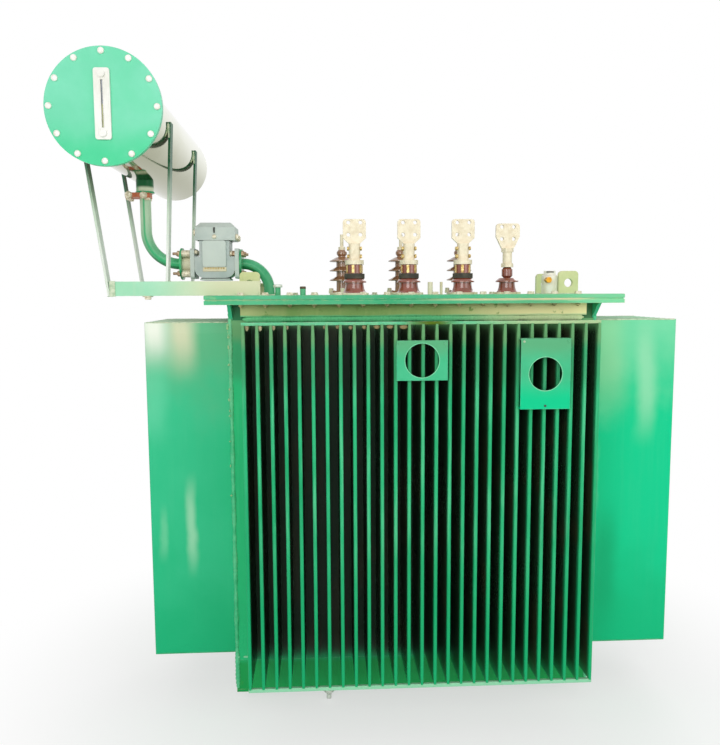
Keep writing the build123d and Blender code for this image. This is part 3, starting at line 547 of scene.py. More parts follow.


# Painted shade deep between the front and rear fins.
front_gap_shade = painted_fin_shade(Y, fin_tip - 0.002, fin_tip - 0.032, X, fin_half_span - FACE_INSET, 0.97)
finishes = {
    "base_paint": paint("base_channel_green", (24, 120, 78), (16, 96, 60), DUST, 0.15, 0.4),
    "tank_paint": paint(
        "tank_green", (36, 184, 120), (20, 166, 104), (110, 196, 140), 0.22, 0.32, 6.0, CREAM, 0.25,
        layers=[(stains(14.0, 0.4), (84, 170, 96)), (level(0.20, 0.17, 0.02, 0.75), (20, 154, 66))],
    ),
    "fin_paint": paint(
        "fin_green", (44, 184, 122), (22, 164, 104), (96, 200, 145), 0.15, 0.26, 3.0, (120, 216, 165), 0.35,
        layers=[
            # Painted light: pale vertical streaks as highlights on the fins, a pale band on the fins' top faces, and
            # a brighter green on the corner strips beyond the fins.
            (both(drifting(1.0, (95, 1, 5), 0.55), level(0.45, 0.85, 0.2)), (98, 208, 152)),
            (level(0.75, 0.3, 0.3, 0.85), (14, 172, 108)), (level(1.426, 1.433, 0.0), (150, 228, 180)),
            (beyond(X, fin_half_span + 0.004, 0.8), (40, 196, 128)),
            (level(1.19, 1.27, 0.06, 0.75), (56, 152, 100)), (level(1.34, 1.39, 0.04, 0.8), (110, 162, 106)),
            # Painted shade between the fins, varied with browner patches.
            (front_gap_shade, PAINTED_GAP_SHADE), (both(front_gap_shade, drifting(1.0, (20, 1, 4), 0.8)), (66, 72, 48)),
        ],
    ),
    "upper_band_paint": paint(
        "brushed_yellow_green", (140, 172, 98), (122, 162, 88), (180, 196, 130), 0.45, 0.5, 7.0,
        layers=[
            (along(X, 0.0, 0.42, 0.95), (246, 238, 176)), (along(X, -0.42, -0.6, 0.6), (196, 200, 142)),
            (stains(30.0, 0.4), (116, 152, 78)), (level(*STIFFENER_FOOT, 0.85), (86, 196, 136)),
            (both(along(X, 0.1, 0.45, 0.8), level(*STIFFENER_FOOT)), (216, 224, 172)),
        ],
    ),
    "cover_paint": paint(
        "cover_green", (84, 190, 140), (64, 178, 124), (150, 206, 160), 0.2, 0.28, 4.0, (222, 218, 170), 0.8,
        layers=[(stains(9.0, 0.42), (160, 204, 146)), (along(X, 0.1, 0.6, 0.6), (140, 222, 166))],
    ),
    "plate_paint": paint(
        "plate_green", (72, 190, 138), (58, 182, 128), DUST, 0.1, 0.3, 6.0, (150, 226, 186), 0.6,
        layers=[
            (level(1.30, 1.37, 0.06, 0.9), (92, 172, 122)),
            (both(along(X, 0.2, 0.3), level(1.28, 1.18, 0.04)), (0, 202, 140)),
        ],
    ),
    "conservator_paint": paint(
        "cap_mint", (120, 218, 180), (108, 212, 170), (150, 222, 190), 0.2, 0.32, 5.0, (190, 230, 205), 0.3,
        layers=[(level(2.08, 1.95, 0.08, 0.95), (62, 206, 146)), (drifting(7.0, (1, 1, 1), 0.55), (104, 214, 168))],
    ),
    "gauge_white": paint("gauge_white", (240, 240, 234), (230, 230, 220), CREAM, 0.15, 0.3, 12.0),
    "support_paint": paint(
        "support_green", (230, 236, 228), (216, 228, 212), (234, 236, 222), 0.3, 0.35, 5.0, CREAM, 0.4,
        layers=[(level(1.60, 1.90, 0.1, 0.6), (150, 190, 150)), (level(1.80, 2.0, 0.06), (26, 96, 62))],
    ),
    # The dark green where the pipes face down is painted shade on their undersides.
    "pipe_paint": paint(
        "pipe_green", (92, 184, 134), (60, 164, 112), DUST, 0.2, 0.2, 6.0, CREAM, 0.3,
        layers=[(stains(16.0, 0.4), (124, 176, 112)), (turned_side(Z, -0.75, 0.5, 0.8), (14, 112, 62))],
    ),
    "valve_red": paint("valve_orange", (206, 112, 72), (176, 84, 52), CREAM, 0.3, 0.4, 14.0, CREAM, 0.6),
    "cream_metal": paint("cream_paint", (236, 228, 200), (220, 208, 172), (196, 184, 146), 0.3, 0.35, 14.0),
    "relay_grey": paint(
        "relay_grey", (200, 211, 203), (186, 199, 193), (216, 220, 206), 0.25, 0.4, 9.0, (228, 228, 212), 0.4,
    ),
    "lug_paint": paint("lug_yellow_green", (216, 220, 164), (204, 214, 152), CREAM, 0.25, 0.35, 14.0, CREAM, 0.5),
    "terminal_metal": metal("tinned_terminal", (244, 233, 206), (234, 220, 190), 0.45, 0.1),
    "steel_fittings": metal("zinc_steel", (206, 208, 196), (166, 162, 144), 0.35, 0.5),
    "brass_plug": metal("amber_brass", (226, 166, 40), (176, 118, 26), 0.3, 0.6),
}
bolt_finish = metal("zinc_bolts", (240, 232, 210), (206, 194, 160), 0.38, 0.2, 120.0)
cap_bolt_finish = metal("white_cap_bolts", (250, 249, 242), (232, 230, 216), 0.35, 0.1, 60.0)
nut_finish = metal("olive_zinc_nuts", (214, 206, 150), (150, 144, 92), 0.45, 0.2, 120.0)
brass_finish = metal("brass_clips", (226, 200, 132), (176, 146, 78), 0.34, 0.5, 90.0)
dull_bolt_finish = metal("dull_bolts", (206, 178, 146), (150, 118, 92), 0.5, 0.3, 110.0)
dark_finish = metal("dark_steel", (70, 72, 66), (40, 42, 38), 0.5, 0.4, 90.0)
weld_finish = paint("painted_weld", (64, 190, 132), (40, 166, 108), (110, 204, 156), 0.4, 0.35, 30.0)
bare_weld_finish = paint(
    "bare_weld", (184, 178, 142), (142, 134, 98), (196, 188, 152), 0.3, 0.5, 60.0,
    layers=[(along(X, -0.45, -0.12, 0.8), (146, 126, 84))],
)
pale_weld_finish = paint("pale_weld", (214, 224, 196), (170, 196, 160), CREAM, 0.4, 0.45, 60.0)
knob_finish = paint("cream_weld", (182, 208, 152), (122, 194, 138), CREAM, 0.15, 0.5, 60.0)


def make_porcelain(name, glaze, deep, edge_highlight):
    """Glazed porcelain: brown glaze with pale painted highlights on its edges, under a clear coat."""
    t = Finish(name)
    drift = t.between(t.noise(16.0, 4), 0.35, 0.7)
    painted_edge_highlight = t.group(chipped_edges, Width=0.006, Amount=0.6)["Mask"]
    t.set(Base_Color=t.mix(painted_edge_highlight, t.mix(drift, glaze, deep), edge_highlight), Coat_Weight=0.7)
    t.set(Roughness=t.plus(0.12, t.times(drift, 0.1)))
    t.bump(t.noise(40.0, 2), 0.08, 0.0008, 0.002)
    return t.material


def make_rubber():
    """Matt black rubber with a dusty bloom."""
    t = Finish("gasket_rubber")
    bloom = t.between(t.noise(35.0, 4), 0.4, 0.7)
    t.set(Base_Color=t.mix(bloom, (58, 54, 46), (88, 82, 68)), Roughness=0.75)
    t.bump(t.noise(300.0, 2), 0.2, 0.0004)
    return t.material


def make_shell():
    """Polished shell: a pale mirror, cream above and a darker beige below as painted shade, with faint handling
    marks.
    """
    t = Finish("polished_cream_shell")
    marks = t.between(t.noise(5.0, 5, (1, 0.4, 1)), 0.42, 0.7)
    cream = t.mix(marks, (229, 231, 213), (219, 221, 198))
    painted_lower_shade = t.times(t.fade(2.14, 1.97, 0.03), 0.9)
    t.set(Base_Color=t.mix(painted_lower_shade, cream, (120, 123, 76)), Metallic=1.0)
    t.set(Roughness=t.plus(0.05, t.times(marks, 0.05)))
    t.bump(t.noise(9.0, 3), 0.03, 0.001)
    return t.material


def make_gauge_glass():
    """Sight glass over oil: dark above the oil's level, olive below it."""
    t = Finish("oil_sight_glass")
    oil_level = Box("oil_gauge_glass").middle[2]
    filled = t.fade(oil_level + 0.004, oil_level - 0.004, 0.002)
    t.set(Base_Color=t.mix(filled, (62, 74, 84), (122, 126, 34)), Coat_Weight=0.8)
    t.set(Roughness=t.times(t.noise(30.0, 3), 0.25))
    return t.material


finishes["porcelain"] = make_porcelain("red_brown_glaze", (152, 72, 52), (126, 66, 44), (180, 134, 102))
finishes["gasket_rubber"] = make_rubber()
finishes["conservator_metal"] = make_shell()
finishes["gauge_glass"] = make_gauge_glass()
# Painted glare on the left side wall: near-white at the upper corner and paler greens lower down.
left_painted_light_bands = [
    (stain_and_glare_band(-0.845, 0.075, 1.19, 1.70, 0.9), (226, 224, 190)),
    (stain_and_glare_band(-0.945, 0.085, 1.22, 1.70, 1.0), (244, 248, 234)),
    (stain_and_glare_band(-0.945, 0.075, 0.95, 1.36, 0.5), (112, 222, 176)),
    (stain_and_glare_band(-0.818, 0.028, 0.46, 0.90, 0.75), (172, 228, 190)),
    (stain_and_glare_band(-0.926, 0.022, 0.52, 0.78, 0.45), (140, 222, 176)),
]
# Painted light on the right side wall: pale glare bands, and a darker saturated band low down.
right_painted_light_bands = [
    (stain_and_glare_band(0.884, 0.055, 0.93, 1.50, 0.7), (160, 228, 184)),
    (stain_and_glare_band(0.735, 0.10, 1.0, 1.70, 0.6), (156, 220, 164)),
    (stain_and_glare_band(0.74, 0.07, 0.18, 0.80, 0.6), (0, 170, 112)),
    (stain_and_glare_band(0.705, 0.014, 0.68, 1.0, 0.5), (110, 214, 160)),
]
own_finishes = {
    # The two side walls are one paint; their different greens, paler on the left, are painted light.
    "left_fin_wall": side_fin_finish(
        "left_side_green", (60, 202, 148), (44, 196, 138), (14, 182, 120), (108, 186, 136),
        -left_wall.low[0], left_painted_light_bands,
    ),
    "right_fin_wall": side_fin_finish(
        "right_side_green", (2, 208, 146), (10, 202, 138), (0, 188, 126), (128, 222, 172),
        right_wall.high[0], right_painted_light_bands,
    ),
    "fin_bars": paint(
        "bar_green", (104, 200, 150), (86, 190, 136), (180, 214, 168), 0.35, 0.3, 8.0, CREAM, 0.5,
        layers=[
            (both(along(X, 0.1, 0.4, 0.8), level(1.40, 1.42, 0.0)), (186, 206, 152)),
            (stain_and_glare_band(0.028, 0.11, 1.20, 1.70, 1.0), (84, 112, 18)), (level(0.30, 0.25, 0.0, 0.7), (160, 222, 184)),
        ],
    ),
    # The gasket's bright green base is painted light against the shade of its recess.
    "cover_gasket": paint(
        "painted_gasket", (86, 200, 146), (70, 184, 130), (140, 160, 96), 0.2, 0.5, 20.0,
        layers=[
            (along(X, -0.02, 0.2), (244, 234, 190)), (along(X, -0.3, -0.6, 0.6), (186, 214, 164)),
            (along(X, 0.55, 0.66), (128, 220, 164)),
        ],
    ),
    "top_flange_front_rear": paint(
        "flange_green", (84, 192, 138), (66, 180, 124), (150, 206, 160), 0.2, 0.3, 4.0, (222, 218, 170), 0.8,
        layers=[
            (along(X, 0.1, 0.6, 0.5), (134, 216, 160)),
            (both(along(X, -0.05, 0.2), level(1.503, 1.508, 0.012, 0.7)), (232, 224, 180)),
            (along(X, 0.5, 0.62, 0.8), (128, 220, 164)),
        ],
    ),
    # The band's bright green base is painted light against the shade under the flange; the dark green past 0.594 at
    # each end is painted shade in the recesses by the gussets.
    "upper_bands_front_rear": paint(
        "upper_band_green", (126, 236, 180), (110, 224, 166), (160, 226, 184), 0.2, 0.35, 6.0,
        layers=[(along(X, 0.1, 0.4, 0.9), (240, 244, 196)), (beyond(X, 0.594, 0.95), (12, 100, 54))],
    ),
    "corner_gussets": paint("gusset_green", (70, 200, 150), (52, 188, 132), DUST, 0.15, 0.35, 9.0, CREAM, 0.4),
    "relay_body": paint("body_grey", (190, 201, 196), (172, 186, 182), CREAM, 0.15, 0.4, 9.0, CREAM, 0.3),
    "hv_porcelain": make_porcelain("dark_brown_glaze", (160, 114, 80), (134, 92, 66), (198, 170, 136)),
    "beam_front": paint(
        "beam_green", (174, 230, 198), (160, 222, 184), (214, 226, 192), 0.25, 0.38, 5.0, CREAM, 0.5,
        layers=[(along(X, -0.95, -0.66), (220, 222, 184)), (stains(18.0, 0.38), (184, 208, 160))],
    ),
    "relay_window": paint("window_grey", (206, 217, 208), (200, 212, 204), CREAM, 0.1, 0.4, 9.0),
    "conservator_rear_end": finishes["conservator_metal"],
    # Painted shade: dark green at the top of the neck under the shell, and green on its left-facing side.
    "conservator_outlet": paint(
        "outlet_cream", (226, 234, 204), (190, 220, 176), CREAM, 0.2, 0.3, 12.0,
        layers=[(turned_side(X, -0.8, 0.35, 0.7), (96, 184, 118)), (level(1.926, 1.938, 0.008), (24, 104, 58))],
    ),
    # Painted light and shade: a greener stripe where the pipe faces front, and dark green on its underside.
    "upper_oil_pipe": paint(
        "upper_pipe_green", (104, 190, 140), (76, 172, 118), DUST, 0.25, 0.2, 6.0, CREAM, 0.3,
        layers=[
            (level(1.66, 1.84, 0.04), (192, 222, 188)), (turned_side(X, -0.10, 0.28, 0.85), (58, 182, 118)),
            (turned_side(Z, -0.8, 0.5, 0.8), (20, 116, 66)),
        ],
    ),
    # The plug's near-white is painted light that offsets its shade.
    "drain_plug": paint("drain_white", (236, 240, 232), (214, 220, 210), CREAM, 0.2, 0.4, 40.0),
    "filler_valve": paint("filler_white", (242, 240, 226), (228, 222, 196), CREAM, 0.2, 0.35, 30.0),
}
own_finishes["beam_rear"] = own_finishes["beam_front"]

for subpart in frame["record"]["subparts"]:
    name = subpart["node"]
    materials = frame["nodes"][name].data.materials
    materials.clear()
    materials.append(own_finishes.get(name, finishes[subpart["material_slot"]]))

# Cover bolts: a head and washer above the cover, a nut and bolt end under the flange, along both long sides

ROW_INSET, WASHER, NUT_HEIGHT = 0.032, 0.002, 0.007
cover = Box("cover")
cover_top = cover.high[2]
bolt_x = np.linspace(-0.609, 0.575, 15)
bolt_y = cover.low[1] + ROW_INSET, cover.high[1] - ROW_INSET
above = np.array([(x, y, cover_top) for y in bolt_y for x in bolt_x])
below = above * (1, 1, 0) + (0, 0, Box("top_flange_front_rear").low[2])
cover_heads = [stood(washer(0.014, WASHER), above), stood(hex_head(0.021, 0.008), above + (0, 0, WASHER))]
hardware("cover_bolts", cover_heads, bolt_finish)
bolt_ends = stood(threaded(0.004, 0.004), below - (0, 0, NUT_HEIGHT), DOWN)
hardware("cover_nuts", [stood(hex_head(0.015, NUT_HEIGHT), below, DOWN), bolt_ends], nut_finish)

# Conservator: cap bolts and nuts, the gauge's bezel, the welds of its flange and outlet, and the valve's bolts

CAP_BOLTS = 12
cap, cap_flange = Box("conservator_front_cover"), Box("conservator_front_flange")
cap_x, _, cap_z = cap.middle
angles = np.arange(CAP_BOLTS) * 2 * math.pi / CAP_BOLTS
bolt_circle = cap.size[0] / 2 - 0.0145
cap_places = np.stack(
    [cap_x + bolt_circle * np.sin(angles), np.full(CAP_BOLTS, cap.low[1]), cap_z + bolt_circle * np.cos(angles)], 1
)
piece("cap_bolts", [stood(domed_head(0.0102, 0.008), cap_places, FRONT)], cap_bolt_finish)
behind_cap = cap_places * (1, 0, 1) + (0, cap_flange.high[1], 0)
hardware("cap_nuts", [stood(hex_head(0.02, 0.01), behind_cap, BACK)], nut_finish)
glass = Box("oil_gauge_glass")
bezel_y = Box("oil_gauge_frame").low[1] + 0.0075
bezel_x = [glass.middle[0] + way * (glass.size[0] / 2 - 0.0005) for way in SIDES]
bezel = [block((x, bezel_y, glass.middle[2]), (0.003, 0.004, glass.size[2])) for x in bezel_x]
hardware("gauge_bezel", bezel, finishes["gauge_white"])
outlet, valve = Box("conservator_outlet"), Box("isolating_valve")
piece(
    "conservator_welds",
    [
        ring_bead((cap_x, cap_flange.high[1], cap_z), BACK, Box("conservator_shell").size[0] / 2 + 0.002, 0.004),
        ring_bead((outlet.middle[0], 0, outlet.low[2] + 0.003), UP, 0.032, 0.0035),
    ],
    weld_finish,
)
valve_fronts = [(x, valve.low[1], valve.middle[2]) for x in (valve.low[0] + 0.016, valve.high[0] - 0.022)]
valve_ends = valve.low[0] + 0.014, valve.high[0] - 0.012
valve_under = [(x, y, valve.low[2]) for x in valve_ends for y in (-0.018, 0.018)]
hardware(
    "valve_bolts",
    bolted(valve_fronts, FRONT, 0.022, 0.010, 0.014, 0.003) + [stood(hex_head(0.018, 0.009), valve_under, DOWN)],
    bolt_finish,
)

# Legs and beams: weld beads round the feet, and a bolt with a pad under the front beam

PAD_HEIGHT = 0.004
support_welds = []
for key, way in zip(CORNERS, SIDES * 2):
    leg = Box(key + "_leg")
    foot_x, top_x = (leg.low[0], leg.high[0]) if way > 0 else (leg.high[0], leg.low[0])
    for x in (foot_x, foot_x + way * 0.0085):
        ends = (x, leg.low[1], leg.low[2]), (x, leg.high[1], leg.low[2])
        support_welds.append(bead(*ends, (way, 0, 1), 0.003, 0.008, x))
    for y, outward in ((leg.low[1], FRONT), (leg.high[1], BACK)):
        top = np.array((top_x - way * 0.008, y, leg.high[2] - 0.004))
        support_welds.append(bead(top - (0, 0, 0.05), top, outward, 0.003, 0.008, y))
beam = Box("beam_front")
beam_ends = cover.low[0] + 0.002, beam.high[0]
for y in (beam.low[1], beam.high[1]):
    support_welds.append(level_bead(beam_ends, y, cover_top, (0, y - beam.middle[1], 0.02), 0.003))
piece("support_welds", support_welds, pale_weld_finish)
pad = np.array([(-0.935, beam.middle[1], beam.low[2])])
pad_head = stood(hex_head(0.020, 0.009), pad - (0, 0, PAD_HEIGHT), DOWN)
hardware("beam_bolt", [stood(washer(0.018, PAD_HEIGHT), pad, DOWN), pad_head], bolt_finish)

# Relay: through bolts and spacers at its flanges, lid screws, a dark pin, dark sheets under the lid and body as
# painted shade, bottom cover and terminal strip

relay, body, lid, adapter = Box("relay_flanges"), Box("relay_body"), Box("relay_lid"), Box("relay_adapter")
relay_x, relay_z = body.middle[0], relay.middle[2]
around = np.array([(y, z) for y in (-0.037, 0.037) for z in (-0.037, 0.037)])
upper_two = around[around[:, 1] > 0]


def at_x(x, spots):
    """Places at one X round the relay's axis."""
    return np.column_stack([np.full(len(spots), x), spots[:, 0], relay_z + spots[:, 1]])


HEAD_HEIGHT = 0.010
pipe_side, cover_side = adapter.low[0] - 0.007, relay.high[0] + 0.009
hardware(
    "relay_bolts",
    [
        stood(threaded(0.0055, 0.026), at_x(pipe_side, around), LEFT),
        stood(hex_head(0.019, HEAD_HEIGHT), at_x(pipe_side, around), LEFT),
        stood(hex_head(0.019, 0.011), at_x(body.high[0], upper_two), LEFT),
        stood(hex_head(0.019, HEAD_HEIGHT), at_x(cover_side, around), RIGHT),
        stood(threaded(0.0055, 0.009), at_x(cover_side + HEAD_HEIGHT, around), RIGHT),
    ],
    dull_bolt_finish,
)
spacer = lathe([(0, 0), (0.011, 0), (0.013, 0.004), (0.013, 0.030), (0.011, 0.034), (0, 0.034)], 20)
piece(
    "relay_spacers",
    [
        stood(spacer, at_x(adapter.low[0], around), RIGHT),
        stood(domed_head(0.0085, 0.012), at_x(body.low[0], upper_two) + (0, 0, 0.006), RIGHT),
        stood(hex_head(0.018, 0.009), at_x(body.high[0] - 0.011, upper_two), LEFT),
    ],
    bolt_finish,
)
lid_x, lid_z = lid.middle[0] - 0.003, lid.low[2]
lid_left = [(lid.low[0], y, lid_z + 0.030) for y in (-0.034, 0.034)]
lid_right = [(lid.high[0], y, lid_z + 0.012) for y in (-0.034, 0.034)]
lid_screw = 0.020, HEAD_HEIGHT, 0.013, 0.003
front_screw = stood(domed_head(0.008, 0.007), [(lid_x, lid.low[1], lid_z + 0.013)], FRONT)
hardware(
    "relay_lid_screws", [*bolted(lid_left, LEFT, *lid_screw), *bolted(lid_right, RIGHT, *lid_screw), front_screw],
    bolt_finish,
)
# A dark pin on the lid's front, and two thin dark sheets, under the lid and under the body, as painted shade.
hardware(
    "relay_dark_fittings",
    [
        block((lid_x, lid.low[1] - 0.001, lid_z + 0.037), (0.006, 0.006, 0.020)),
        block((relay_x, 0, body.low[2] - 0.001), (0.104, 0.100, 0.003)),
        block((relay_x, 0, lid_z - 0.0008), (0.118, 0.108, 0.0016)),
    ],
    dark_finish, 0.0006,
)
bottom_cover = block((relay_x, 0, body.low[2] - 0.0055), (0.112, 0.104, 0.006))
hardware("relay_bottom_cover", [bottom_cover], finishes["relay_grey"], 0.002)
strip_z = Box("relay_window").low[2] - 0.009
strip = block((relay_x, body.low[1] - 0.001, strip_z), (0.088, 0.004, 0.016))
hardware("relay_terminal_strip", [strip], finishes["cream_metal"], 0.0008)
strip_screws = [(x, body.low[1] - 0.003, strip_z + 0.004) for x in relay_x + np.linspace(-0.034, 0.034, 8)]
piece("relay_terminal_screws", [stood(domed_head(0.003, 0.003), strip_screws, FRONT)], brass_finish)

# Bushings: clamp rings and bolts on the cover, brass clips on the heads that also serve as painted gold highlights,
# bolts through the terminal clamps


def three_mounts(stem):
    """Places of the three mounts with one stem."""
    return np.array([mounts[f"{stem}_{key}"] for key in "abc"])


on_cover = np.array((0, 0, cover_top))
lv_axes = three_mounts("lv_flag") * (1, 1, 0)
lv_feet = lv_axes + on_cover
hv_feet = three_mounts("hv_stud") * (1, 1, 0) + on_cover
neutral_foot = mounts["neutral_flag"][None] * (1, 1, 0) + on_cover
thirds = np.arange(3) * 2 * np.pi / 3 - np.pi / 2
quarters = np.arange(4) * np.pi / 2 + np.pi / 4
sixths = np.arange(6) * np.pi / 3 + 0.3
hv_clamp = block((0.047, 0, 0.012), (0.022, 0.014, 0.012))[0]
hardware(
    "bushing_clamps",
    [
        stood(hoop(0.043, 0.050, 0.009), hv_feet),
        ringed(hv_clamp, thirds, hv_feet),
        ringed(stood(hex_head(0.015, 0.009), [(0.050, 0, 0.018)])[0], thirds, hv_feet),
        stood(hoop(0.0455, 0.052, 0.007), lv_feet),
        ringed(stood(hex_head(0.015, 0.008), [(0.056, 0, 0)])[0], quarters, lv_feet),
        stood(hoop(0.0395, 0.045, 0.007), neutral_foot),
        ringed(stood(hex_head(0.014, 0.008), [(0.049, 0, 0)])[0], quarters, neutral_foot),
    ],
    finishes["cream_metal"],
)
heads = Box("lv_porcelain_heads")
clip_height = heads.size[2] - 0.004
# The brass clips on the heads also serve as painted gold highlights on the brown glaze.
highlight_clip = block((0.0295, 0, heads.low[2] + 0.002 + clip_height / 2), (0.003, 0.010, clip_height))[0]
hardware("head_clips", [ringed(highlight_clip, sixths, lv_axes)], brass_finish, 0.0008)
clamp_low = heads.high[2] + 0.016
clamp_places = [(0.021, y, clamp_low + z) for y in (-0.010, 0.010) for z in (0.014, 0.042)]
clamp_heads = stood(hex_head(0.012, 0.006), clamp_places, RIGHT)
hardware("clamp_bolts", [ringed(head, [0.0, np.pi], lv_axes) for head in clamp_heads], brass_finish)
stud_threads = stood(threaded(0.0073, 0.033), three_mounts("hv_stud"))
piece("stud_threads", [stud_threads], finishes["terminal_metal"])

# Lugs, filler and pipe foot: weld beads where they meet the cover; the filler's slot as a dark block of painted
# shade, and the caps of two posts

PIPE_RADIUS = 0.0205
foot_welds = []
for key in CORNERS:
    x, y, _ = mounts[f"lug_hole_{key}"]
    for way in SIDES:
        ends = x - 0.037, x + 0.037
        foot_welds.append(level_bead(ends, y + way * 0.008, cover_top, (0, way, 1), 0.004, 0.008, x))
filler = Box("filler_valve")
filler_x, filler_y, _ = filler.middle
pipe_x = Box("lower_oil_pipe").high[0] - PIPE_RADIUS
foot_welds.append(ring_bead((filler_x, filler_y, cover_top), UP, 0.029, 0.0035))
foot_welds.append(ring_bead((pipe_x, 0, cover_top), UP, PIPE_RADIUS + 0.001, 0.004))
piece("foot_welds", foot_welds, pale_weld_finish)
# The filler's slot is a dark block that paints the shade inside it.
filler_slot = block((filler_x - 0.004, filler_y - 0.0195, filler.high[2] - 0.004), (0.026, 0.005, 0.004))
hardware("filler_slot", [filler_slot], dark_finish)
posts = Box("cover_posts")
plug_top = posts.low[0] + 0.016, posts.high[1] - 0.016, cover_top + 0.0279
post_top = posts.high[0] - 0.010, posts.low[1] + 0.010, cover_top + 0.0222
plug_cap = lathe([(0, 0), (0.0165, 0), (0.0165, 0.009), (0.013, 0.0105), (0, 0.0105)], 24)
post_cap = lathe([(0, 0), (0.0106, 0), (0.0106, 0.007), (0.008, 0.0085), (0, 0.0085)], 20)
rust_finish = paint("rusty_cap", (104, 78, 62), (70, 52, 44), (150, 120, 96), 0.3, 0.6, 60.0)
piece("post_caps", [stood(plug_cap, [plug_top])], cap_bolt_finish)
piece("post_rust", [stood(post_cap, [post_top])], rust_finish)

# Plates on the fins: a raised rim round each hole, a screw in each upper corner, one near the foot of the right plate

SCREW_INSET, SCREW_HEIGHT = 0.010, 0.0024
plate_rims, corner_screws = [], []
for key, hole_radius in (("centre", 0.056), ("right", 0.055)):
    plate = Box(f"thermometer_plate_{key}")
    hole = mounts[f"thermometer_hole_{key}"] * (1, 0, 1) + (0, plate.low[1] + 0.0006, 0)
    plate_rims.append(ring_bead(hole, FRONT, hole_radius + 0.001, 0.0016))
    screw_x = plate.low[0] + SCREW_INSET, plate.high[0] - SCREW_INSET
    corner_screws += [(x, plate.low[1], plate.high[2] - SCREW_INSET) for x in screw_x]
rim_finish = paint("rim_green", (136, 224, 176), (104, 208, 156), DUST, 0.2)
piece("plate_rims", plate_rims, rim_finish)
foot_screw = plate.middle[0], plate.low[1], plate.low[2] + 0.011
for name, radius, places, material, slot in (
    ("plate_screws", 0.0042, corner_screws[:2] + corner_screws[3:], finishes["plate_paint"], "plate_paint"),
    ("bare_plate_screw", 0.004, corner_screws[2:3], pale_weld_finish, "plate_paint"),
    ("plate_foot_screw", 0.004, [foot_screw], dark_finish, "steel_fittings"),
):
    piece(name, [stood(domed_head(radius, SCREW_HEIGHT), places, FRONT)], material)

# Weld seams of the tank: up the corners, along the bands, under the stiffeners, and at the ends of the fins

tank, band, stiffener = Box("lower_bands_front_rear"), Box("upper_bands_front_rear"), Box("upper_stiffeners")
seams, corner_seams, stiffener_welds, dashes = [], [], [], []
for x in (tank.low[0], tank.high[0]):
    for y in (tank.low[1], tank.high[1]):
        outward = np.array((math.copysign(1, x), math.copysign(1, y), 0))
        foot, head = ((x, y, z) - 0.0035 * outward for z in (tank.low[2], band.high[2]))
        corner_seams.append(bead(foot, head, outward, 0.0095, 0.016, x + y))
    for z in (tank.high[2], band.low[2]):
        seams.append(bead((x, tank.low[1], z), (x, tank.high[1], z), (x, 0, 0), 0.004, 0.01, z + x))
piece("tank_weld_seams", seams, weld_finish)
corner_finish = paint("corner_weld", (92, 204, 148), (66, 188, 130), CREAM, 0.3, 0.35, 30.0)
piece("corner_weld_seams", corner_seams, corner_finish)
stiffener_ends = stiffener.low[0] + 0.004, stiffener.high[0] - 0.004
for side_y in SIDES:
    y, z = side_y * (stiffener.high[1] - 0.0115), stiffener.low[2] - 0.0088
    stiffener_welds.append(level_bead(stiffener_ends, y, z, (0, side_y, 0), 0.0135, 0.012, side_y))
piece("stiffener_welds", stiffener_welds, finishes["upper_band_paint"])
for side_x in SIDES:
    for start, end in ((0.656, 0.643), (0.632, 0.595)):
        for side_y in SIDES:
            y, z = side_y * (tank.high[1] + 0.0012), tank.high[2] + 0.012
            dashes.append(level_bead((side_x * start, side_x * end), y, z, (0, side_y, 0), 0.0035, 0.007, start))
dash_finish = paint("dash_green", (140, 218, 174), (116, 208, 156), CREAM, 0.2)
piece("seam_dashes", dashes, dash_finish)

# Weld drips at the tops of the left-hand fins and knobs on the tank's corners, with sizes that vary by chance

FINS, DRIPS, KNOBS = 27, 13, 20
chance = np.random.default_rng(11)
fin_x = np.linspace(-1, 1, FINS)[:DRIPS] * (fin_half_span - 0.006)
beside = np.array((12, 9, 8, 7, 3, 0, -7, -9, -11, -12, -16, -18, -18)) / 1000
half_width = np.array((7.5, 7, 6.5, 5, 3, 4, 5, 7, 8, 9, 11, 12.5, 12.5)) / 1000
half_height = np.array((13, 12, 11, 11, 6, 7, 8, 8, 8, 8, 8, 8, 8)) / 1000
drip_radii = np.column_stack([half_width, np.full(DRIPS, 0.005), half_height])
places, radii = [], []
for side_y in SIDES:
    depth = np.full(DRIPS, side_y * (fin_tip - 0.015))
    height = fin_bars.high[2] - chance.uniform(0.014, 0.018, DRIPS)
    places.append(np.column_stack([fin_x + beside, depth, height]))
    radii.append(drip_radii * chance.uniform(0.85, 1.15, (DRIPS, 3)))
piece("fin_top_welds", [blobs(places, radii)], bare_weld_finish)
knob_z = 1.43 - 0.62 * chance.uniform(0, 1, KNOBS) ** 1.4
places, radii = [], []
for side_x in SIDES:
    for side_y in SIDES:
        edge = np.array((side_x * (tank.high[0] + 0.003), side_y * (tank.high[1] + 0.003), 0))
        places.append(edge + np.column_stack([chance.uniform(-0.002, 0.002, (KNOBS, 2)), knob_z]))
        radii.append(chance.uniform((0.002, 0.002, 0.002), (0.005, 0.004, 0.006), (KNOBS, 3)))
piece("corner_weld_knobs", [blobs(places, radii)], knob_finish)

# Thin trim of the fins and beams: beads on the side walls, edges of the foot bars, beam ends and bar welds

